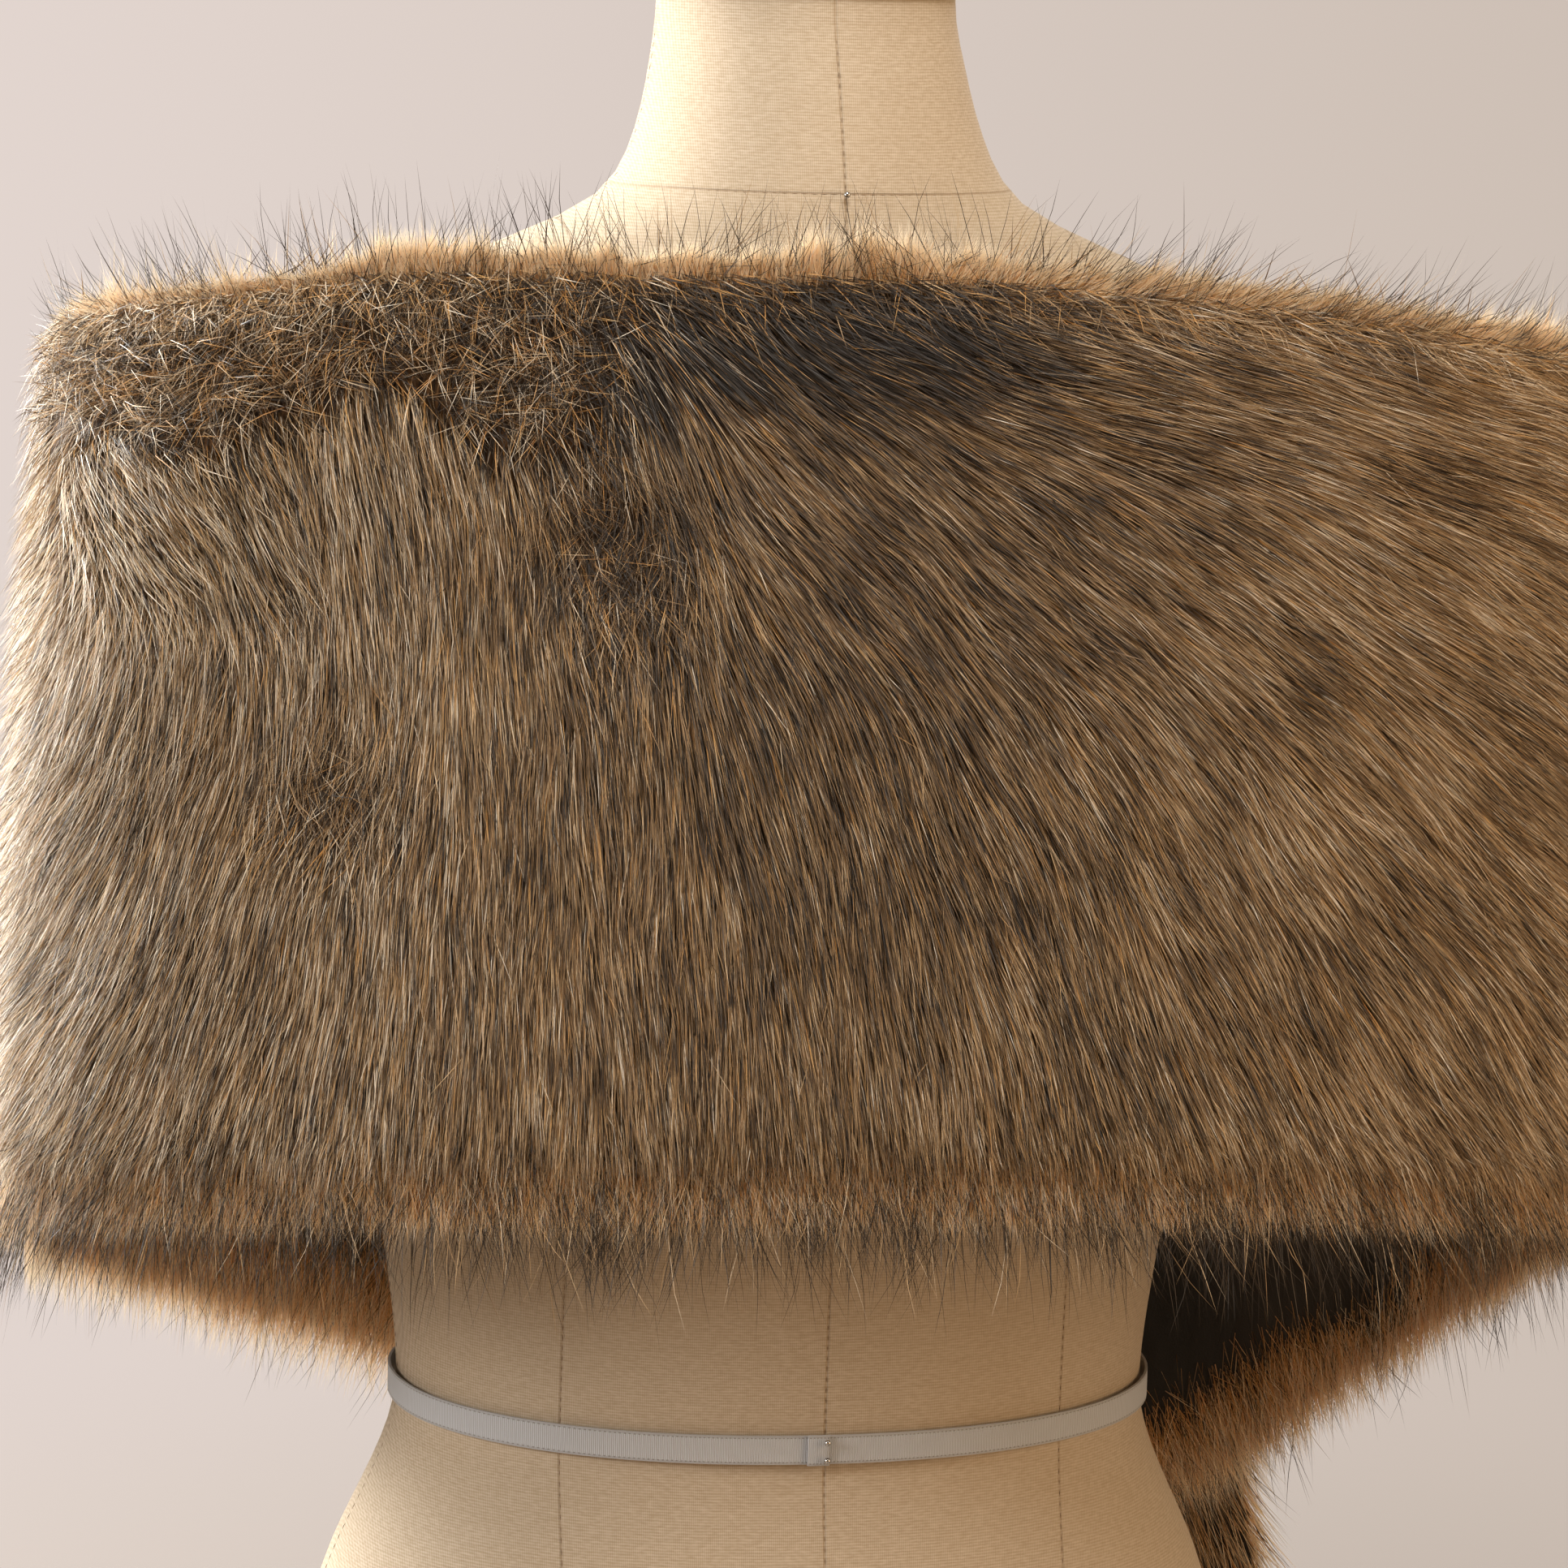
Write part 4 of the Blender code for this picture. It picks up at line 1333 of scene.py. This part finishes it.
class FURWRAP_OT_form(bpy.types.Operator):
    """Makes the dress form: its covered torso, seams, neck cap and base board"""

    bl_idname = "furwrap.form"
    bl_label = "Dress form"

    def execute(self, context):
        sizes = context.scene.furwrap_sizes
        torso = tube("dress_form_torso", 144, 120)
        spots = points_of(torso)
        turn = np.arctan2(spots[:, 1], spots[:, 0])
        low, high = FORM[0][0], FORM[-1][0]
        place_points(torso, form_point(low + (high - low) * (spots[:, 2] + 0.5), turn))
        smooth(torso, 50)
        dressed(torso, "linen_cloth")
        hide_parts("form_torso")

        board = slab(
            "base_board", 96, 0.0, BASE_HEIGHT,
            lambda turn: form_point(FORM[0][0], turn, -BASE_INSET), 0.0015,
        )
        dressed(board, "base_board")
        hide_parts("form_base")
        cap = slab(
            "neck_cap", 96, NECK_TOP + SEAM_GAP, CAP_HEIGHT,
            lambda turn: form_point(NECK_TOP, turn, CAP_OVERHANG), 0.0012,
        )
        dressed(cap, "cap_lacquer")
        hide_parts("form_neck_cap")
        self.seams(sizes)
        return {"FINISHED"}

    @staticmethod
    def seams(sizes):
        """Every seam's stitches, as one piece of small raised dashes."""
        lines = []
        z = np.arange(SEAM_FROM, SEAM_TO, sizes.stitch_step)
        for turn in (math.pi / 2, -math.pi / 2, 0.0, math.pi):
            lines.append((z, z * 0 + turn))
        rise = z[z < CHEST_TOP]
        half_width, _, _, _, squareness = between(FORM, rise)
        lean = np.arccos(np.clip(PRINCESS / half_width, 0, 1) ** (squareness / 2))
        for turn in (lean, math.pi - lean, -lean, lean - math.pi):
            lines.append((rise, turn))
        starts, ends = [], []
        for heights, turns in lines:
            share = sizes.stitch_length / sizes.stitch_step
            starts.append(form_point(heights, turns))
            next_z = heights + np.gradient(heights) * share
            next_turn = turns + np.gradient(turns) * share
            ends.append(form_point(next_z, next_turn))
        count = int(NECK_ROUND / sizes.stitch_step)
        around = np.linspace(-math.pi, math.pi, count, endpoint=False)
        for later, store in ((0.0, starts), (math.tau / count * 0.7, ends)):
            turn = around + later
            level = form_point(NECK_SEAM, turn)
            drop = NECK_DIP * np.minimum(0, level[:, 1] - NECK_DIP_FROM)
            store.append(form_point(NECK_SEAM + drop, turn))
        start, end = np.concatenate(starts), np.concatenate(ends)
        middle = (start + end) / 2
        run = unit(end - start)
        out = unit(middle * np.array([1, 1, 0]) - np.array([0, 0.005, 0]))
        out = unit(out - run * np.sum(out * run, axis=1, keepdims=True))
        side = np.cross(run, out)
        rings = []
        for share, slim, raised in ((0, 0.5, 0.2), (0.5, 1, 1), (1, 0.5, 0.2)):
            spot = start + (end - start) * share
            rings += [
                spot - side * STITCH_HALF * slim - out * STITCH_SUNK,
                spot + side * STITCH_HALF * slim - out * STITCH_SUNK,
                spot + out * STITCH_PROUD * raised,
            ]
        spots = np.stack(rings, axis=1).reshape(-1, 3)
        pattern = [(0, 1, 2), (6, 8, 7)]
        for k in (0, 3):
            for i in range(3):
                j = (i + 1) % 3
                pattern.append((k + i, k + 3 + i, k + 3 + j, k + j))
        faces = []
        for base in range(0, len(spots), 9):
            faces += [tuple(base + i for i in face) for face in pattern]
        mesh = bpy.data.meshes.new("seam_stitches")
        mesh.from_pydata(spots.tolist(), [], faces)
        face_outward(new_object("seam_stitches", mesh, "seam_thread"))


class FURWRAP_OT_tape(bpy.types.Operator):
    """Makes the waist tape, its lapped end and the pins"""

    bl_idname = "furwrap.tape"
    bl_label = "Waist tape and pins"

    def execute(self, context):
        tape = tube("waist_tape_band", 144, 4, fill="NOTHING")
        spots = points_of(tape)
        turn = np.arctan2(spots[:, 1], spots[:, 0])
        around = form_point(WAIST, turn, TAPE_CLEAR)
        around[:, 2] = WAIST + TAPE_WIDTH * spots[:, 2]
        place_points(tape, around)
        self.thicken(tape)
        self.run_along(tape)
        smooth(tape, 40)
        dressed(tape, "waist_tape")
        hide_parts("waist_tape")

        low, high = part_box("waist_tape_end")
        lap = primitive(
            "waist_tape_lap", bpy.ops.mesh.primitive_cube_add, size=1,
            location=(low + high) / 2, scale=high - low,
        )
        apply_place(lap)
        select_edges(lap, lambda a, b: True)
        bpy.ops.mesh.bevel(offset=0.0003, segments=3, affect="EDGES", profile=0.5)
        bpy.ops.mesh.select_all(action="SELECT")
        bpy.ops.object.mode_set(mode="OBJECT")
        self.run_along(lap)
        smooth(lap, 40)
        dressed(lap, "waist_tape")
        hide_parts("waist_tape_end")
        for node in ("pin_neck", "pin_tape_lower", "pin_tape_upper"):
            self.pin(node)
        return {"FINISHED"}

    @staticmethod
    def thicken(tape):
        """Gives the band its thickness, outward."""
        made = tape.modifiers.new("thickness", "SOLIDIFY")
        made.thickness = TAPE_THICKNESS
        made.offset = 1.0
        made.use_even_offset = True
        bpy.context.view_layer.objects.active = tape
        bpy.ops.object.modifier_apply(modifier=made.name)

    @staticmethod
    def run_along(made):
        """A map whose U is the distance round the form in metres, and V the share up."""
        spots = points_of(made)
        turn = np.arctan2(spots[:, 1], spots[:, 0])
        steps = np.linspace(-math.pi, math.pi * 1.1, 1500)
        ring = form_point(WAIST, steps, TAPE_CLEAR)
        length = np.concatenate([[0], np.cumsum(np.linalg.norm(np.diff(ring, axis=0), axis=1))])
        up = (spots[:, 2] - spots[:, 2].min()) / np.ptp(spots[:, 2])
        mesh = made.data
        for layer in list(mesh.uv_layers):
            mesh.uv_layers.remove(layer)
        layer = mesh.uv_layers.new(name="Along")
        for face in mesh.polygons:
            turns = [turn[i] for i in face.vertices]
            wraps = max(turns) - min(turns) > math.pi
            for loop, corner, at in zip(face.loop_indices, face.vertices, turns):
                at = at + math.tau if wraps and at < 0 else at
                layer.data[loop].uv = (np.interp(at, steps, length), up[corner])

    @staticmethod
    def pin(node):
        """A pin's round head, flattened where it meets the cloth."""
        low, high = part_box(node)
        made = primitive(
            node + "_head", bpy.ops.mesh.primitive_uv_sphere_add, segments=24, ring_count=14,
            radius=(high.x - low.x) / 2, location=(low + high) / 2,
        )
        apply_place(made)
        spots = points_of(made)
        inner = low.y + 0.25 * (high.y - low.y)
        spots[:, 1] = np.maximum(spots[:, 1], inner + 0.2 * (spots[:, 1] - inner))
        place_points(made, spots)
        smooth(made, 60)
        dressed(made, "pin_steel")
        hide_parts(node)


STRETCH_ROWS, TAIL_COLUMNS, TAIL_ROWS = 34, 24, 36
GROUND_SHARE = 0.30          # the ground's thickness, as a share of the pile's height
STRETCHES = {
    "back": (-BACK_HALF, BACK_HALF, 72), "left": (BACK_HALF, LEFT_END, 56),
    "right": (RIGHT_END, -BACK_HALF, 56),
}

# Creases of the lining: stretch, share across and down at each end, depth and half width.
LINING_FOLDS = [
    ("right", (0.92, 0.98), (0.55, 0.60), 0.0022, 0.020),
    ("right", (0.60, 1.00), (0.42, 0.70), 0.0016, 0.014),
    ("right", (0.98, 0.55), (0.70, 0.35), 0.0014, 0.022),
    ("left", (0.10, 0.98), (0.42, 0.62), 0.0020, 0.018),
    ("left", (0.35, 1.00), (0.50, 0.75), 0.0014, 0.012),
    ("back", (0.12, 0.95), (0.30, 0.60), 0.0012, 0.020),
    ("back", (0.78, 0.98), (0.66, 0.66), 0.0010, 0.016),
]


def span_of(name):
    """A stretch's first and last place, half a seam gap in from each end."""
    start, end, _ = STRETCHES[name]
    return start + SEAM_GAP / 2, end - SEAM_GAP / 2


def lining_folds(name, place, down):
    """How far the lining falls in from its flat lie; the tail, without a name, has no folds."""
    total = np.zeros(place.shape)
    if not name:
        return total
    start, end = span_of(name)
    size = np.array([end - start, STRIP_WIDTH])
    spot = np.stack([place - start, down * STRIP_WIDTH], axis=-1)
    for stretch, first, last, depth, half in LINING_FOLDS:
        if stretch != name:
            continue
        first, run = np.array(first) * size, (np.array(last) - np.array(first)) * size
        share = np.clip((spot - first) @ run / (run @ run), 0, 1)[..., None]
        distance = np.linalg.norm(spot - first - run * share, axis=-1)
        total += depth * np.exp(-((distance / half) ** 2))
    return total


def cover(prefix, looks, stood, low, high):
    """A closed shell on each stretch and on the tail, its two faces each a sheet.

    stood(name, height, place, down) says how far a face at that height stands off the backing;
    the tail has no name there, and its place is its side.
    """
    for name, (_, _, columns) in STRETCHES.items():
        start, end = span_of(name)

        def sheet(height, name=name, start=start, end=end):
            def at(across, down):
                place = start + (end - start) * across
                spot, normal, _, _ = skin(backing, place, down)
                return spot + normal * stood(name, height, place, down)[..., None]
            return at

        shell(prefix + name, looks, columns, STRETCH_ROWS, sheet(low), sheet(high))

    def tail_sheet(height):
        def at(across, down):
            side = 2 * across - 1
            spot, normal, _, _ = skin(tail_backing, side, down)
            return spot + normal * stood("", height, side, down)[..., None]
        return at

    shell(prefix + "tail", looks, TAIL_COLUMNS, TAIL_ROWS, tail_sheet(low), tail_sheet(high))


class FURWRAP_OT_lining(bpy.types.Operator):
    """Makes the satin lining of each stretch and of the tail"""

    bl_idname = "furwrap.lining"
    bl_label = "Lining"

    def execute(self, context):
        def stood(name, height, place, down):
            return height - lining_folds(name, place, down)

        cover("satin_", "lining_satin", stood, -SEAM_GAP - LINING, -SEAM_GAP)
        for name in (*STRETCHES, "tail"):
            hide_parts("lining_" + name)
        return {"FINISHED"}


class FURWRAP_OT_ground(bpy.types.Operator):
    """Makes the dense short underlayer that the strands stand in, coloured dark as painted shade
    between them
    """

    bl_idname = "furwrap.ground"
    bl_label = "Fur ground"

    def execute(self, context):
        def stood(name, share, place, down):
            return share * (pile if name else tail_pile)(place, down)

        cover("fur_ground_", "fur_ground", stood, 0.0, GROUND_SHARE)
        for name in (*STRETCHES, "tail"):
            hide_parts("fur_" + name)
        return {"FINISHED"}


class FURWRAP_OT_pile(bpy.types.Operator):
    """Grows the pile, fringes and guard hairs, strand by strand"""

    bl_idname = "furwrap.pile"
    bl_label = "Pile"

    def execute(self, context):
        sizes = context.scene.furwrap_sizes
        rng = np.random.default_rng(7)
        strips = 4
        edges = np.linspace(-BACK_HALF, BACK_HALF, strips + 1)
        count = sizes.back_strands // strips
        for k in range(strips):
            span = (edges[k], edges[k + 1])
            strand_piece(f"pile_back_{k + 1}", [
                field(rng, count, span, sizes),
                field(rng, int(BACK_NEEDLES * count), span, sizes, needles=True),
                top_fringe(rng, 2600, span, sizes, False),
                top_fringe(rng, 7400, span, sizes, True),
                hem_fringe(rng, 2800, span, sizes, False),
                hem_fringe(rng, 7400, span, sizes, True),
                guard_hair(rng, 280, span, True, sizes),
                guard_hair(rng, 1150, span, False, sizes),
            ])
        self.end_piece(rng, "pile_left", (BACK_HALF, LEFT_END), LEFT_END, sizes, [
            inner_fringe(rng, 4000, (BACK_HALF, 0.60), (0.865, 1.0), sizes, False, 1.65),
            inner_fringe(rng, 11000, (BACK_HALF, 0.60), (0.865, 1.0), sizes, True, 1.65),
        ])
        self.end_piece(rng, "pile_right", (RIGHT_END, -BACK_HALF), RIGHT_END, sizes, [
            inner_fringe(rng, 3500, (RIGHT_END, -BACK_HALF), (0.885, 1.0), sizes, False, 1.25),
            inner_fringe(rng, 11000, (RIGHT_END, -BACK_HALF), (0.885, 1.0), sizes, True, 1.25),
        ])
        strand_piece("pile_tail", [
            tail_field(rng, sizes.tail_strands, sizes, False),
            tail_field(rng, 3 * sizes.tail_strands, sizes, True),
            tail_field(rng, sizes.tail_strands // 2, sizes, False, True),
            tail_field(rng, sizes.tail_strands, sizes, True, True),
        ])
        self.declare(strips)
        return {"FINISHED"}

    @staticmethod
    def end_piece(rng, name, span, end, sizes, inner):
        """All the strands of the left or the right stretch."""
        count = sizes.side_strands
        strand_piece(name, [
            field(rng, count, span, sizes),
            field(rng, int(SIDE_NEEDLES * count), span, sizes, needles=True),
            top_fringe(rng, 1800, span, sizes, False),
            top_fringe(rng, 5500, span, sizes, True),
            hem_fringe(rng, 2000, span, sizes, False, 1.35),
            hem_fringe(rng, 6500, span, sizes, True, 1.35),
            guard_hair(rng, 420, span, True, sizes),
            guard_hair(rng, 1300, span, False, sizes),
            end_fringe(rng, 1500, end, sizes),
            *inner,
        ])

    @staticmethod
    def declare(strips):
        """Does nothing."""


class FURWRAP_PT_panel(bpy.types.Panel):
    """Lists the sizes, the colours and each step of the making"""

    bl_idname = "FURWRAP_PT_panel"
    bl_label = "Fur wrap"
    bl_space_type = "VIEW_3D"
    bl_region_type = "UI"
    bl_category = "Fur wrap"

    def draw(self, context):
        column = self.layout.column(align=True)
        for group in (context.scene.furwrap_sizes, context.scene.furwrap_colours):
            for name in group.__annotations__:
                column.prop(group, name)
        for step in STEPS:
            column.operator(step.bl_idname)


STEPS = (
    FURWRAP_OT_finishes, FURWRAP_OT_stage, FURWRAP_OT_form, FURWRAP_OT_tape, FURWRAP_OT_lining,
    FURWRAP_OT_ground, FURWRAP_OT_pile,
)
CLASSES = (FurWrapSizes, FurWrapColours, *STEPS, FURWRAP_PT_panel)


def register():
    for kind in CLASSES:
        bpy.utils.register_class(kind)
    bpy.types.Scene.furwrap_sizes = PointerProperty(type=FurWrapSizes)
    bpy.types.Scene.furwrap_colours = PointerProperty(type=FurWrapColours)


def unregister():
    del bpy.types.Scene.furwrap_colours
    del bpy.types.Scene.furwrap_sizes
    for kind in reversed(CLASSES):
        bpy.utils.unregister_class(kind)


def main():
    register()
    bpy.ops.furwrap.finishes()
    bpy.ops.furwrap.stage()
    bpy.ops.furwrap.form()
    bpy.ops.furwrap.tape()
    bpy.ops.furwrap.lining()
    bpy.ops.furwrap.ground()
    bpy.ops.furwrap.pile()


if __name__ == "__main__":
    main()
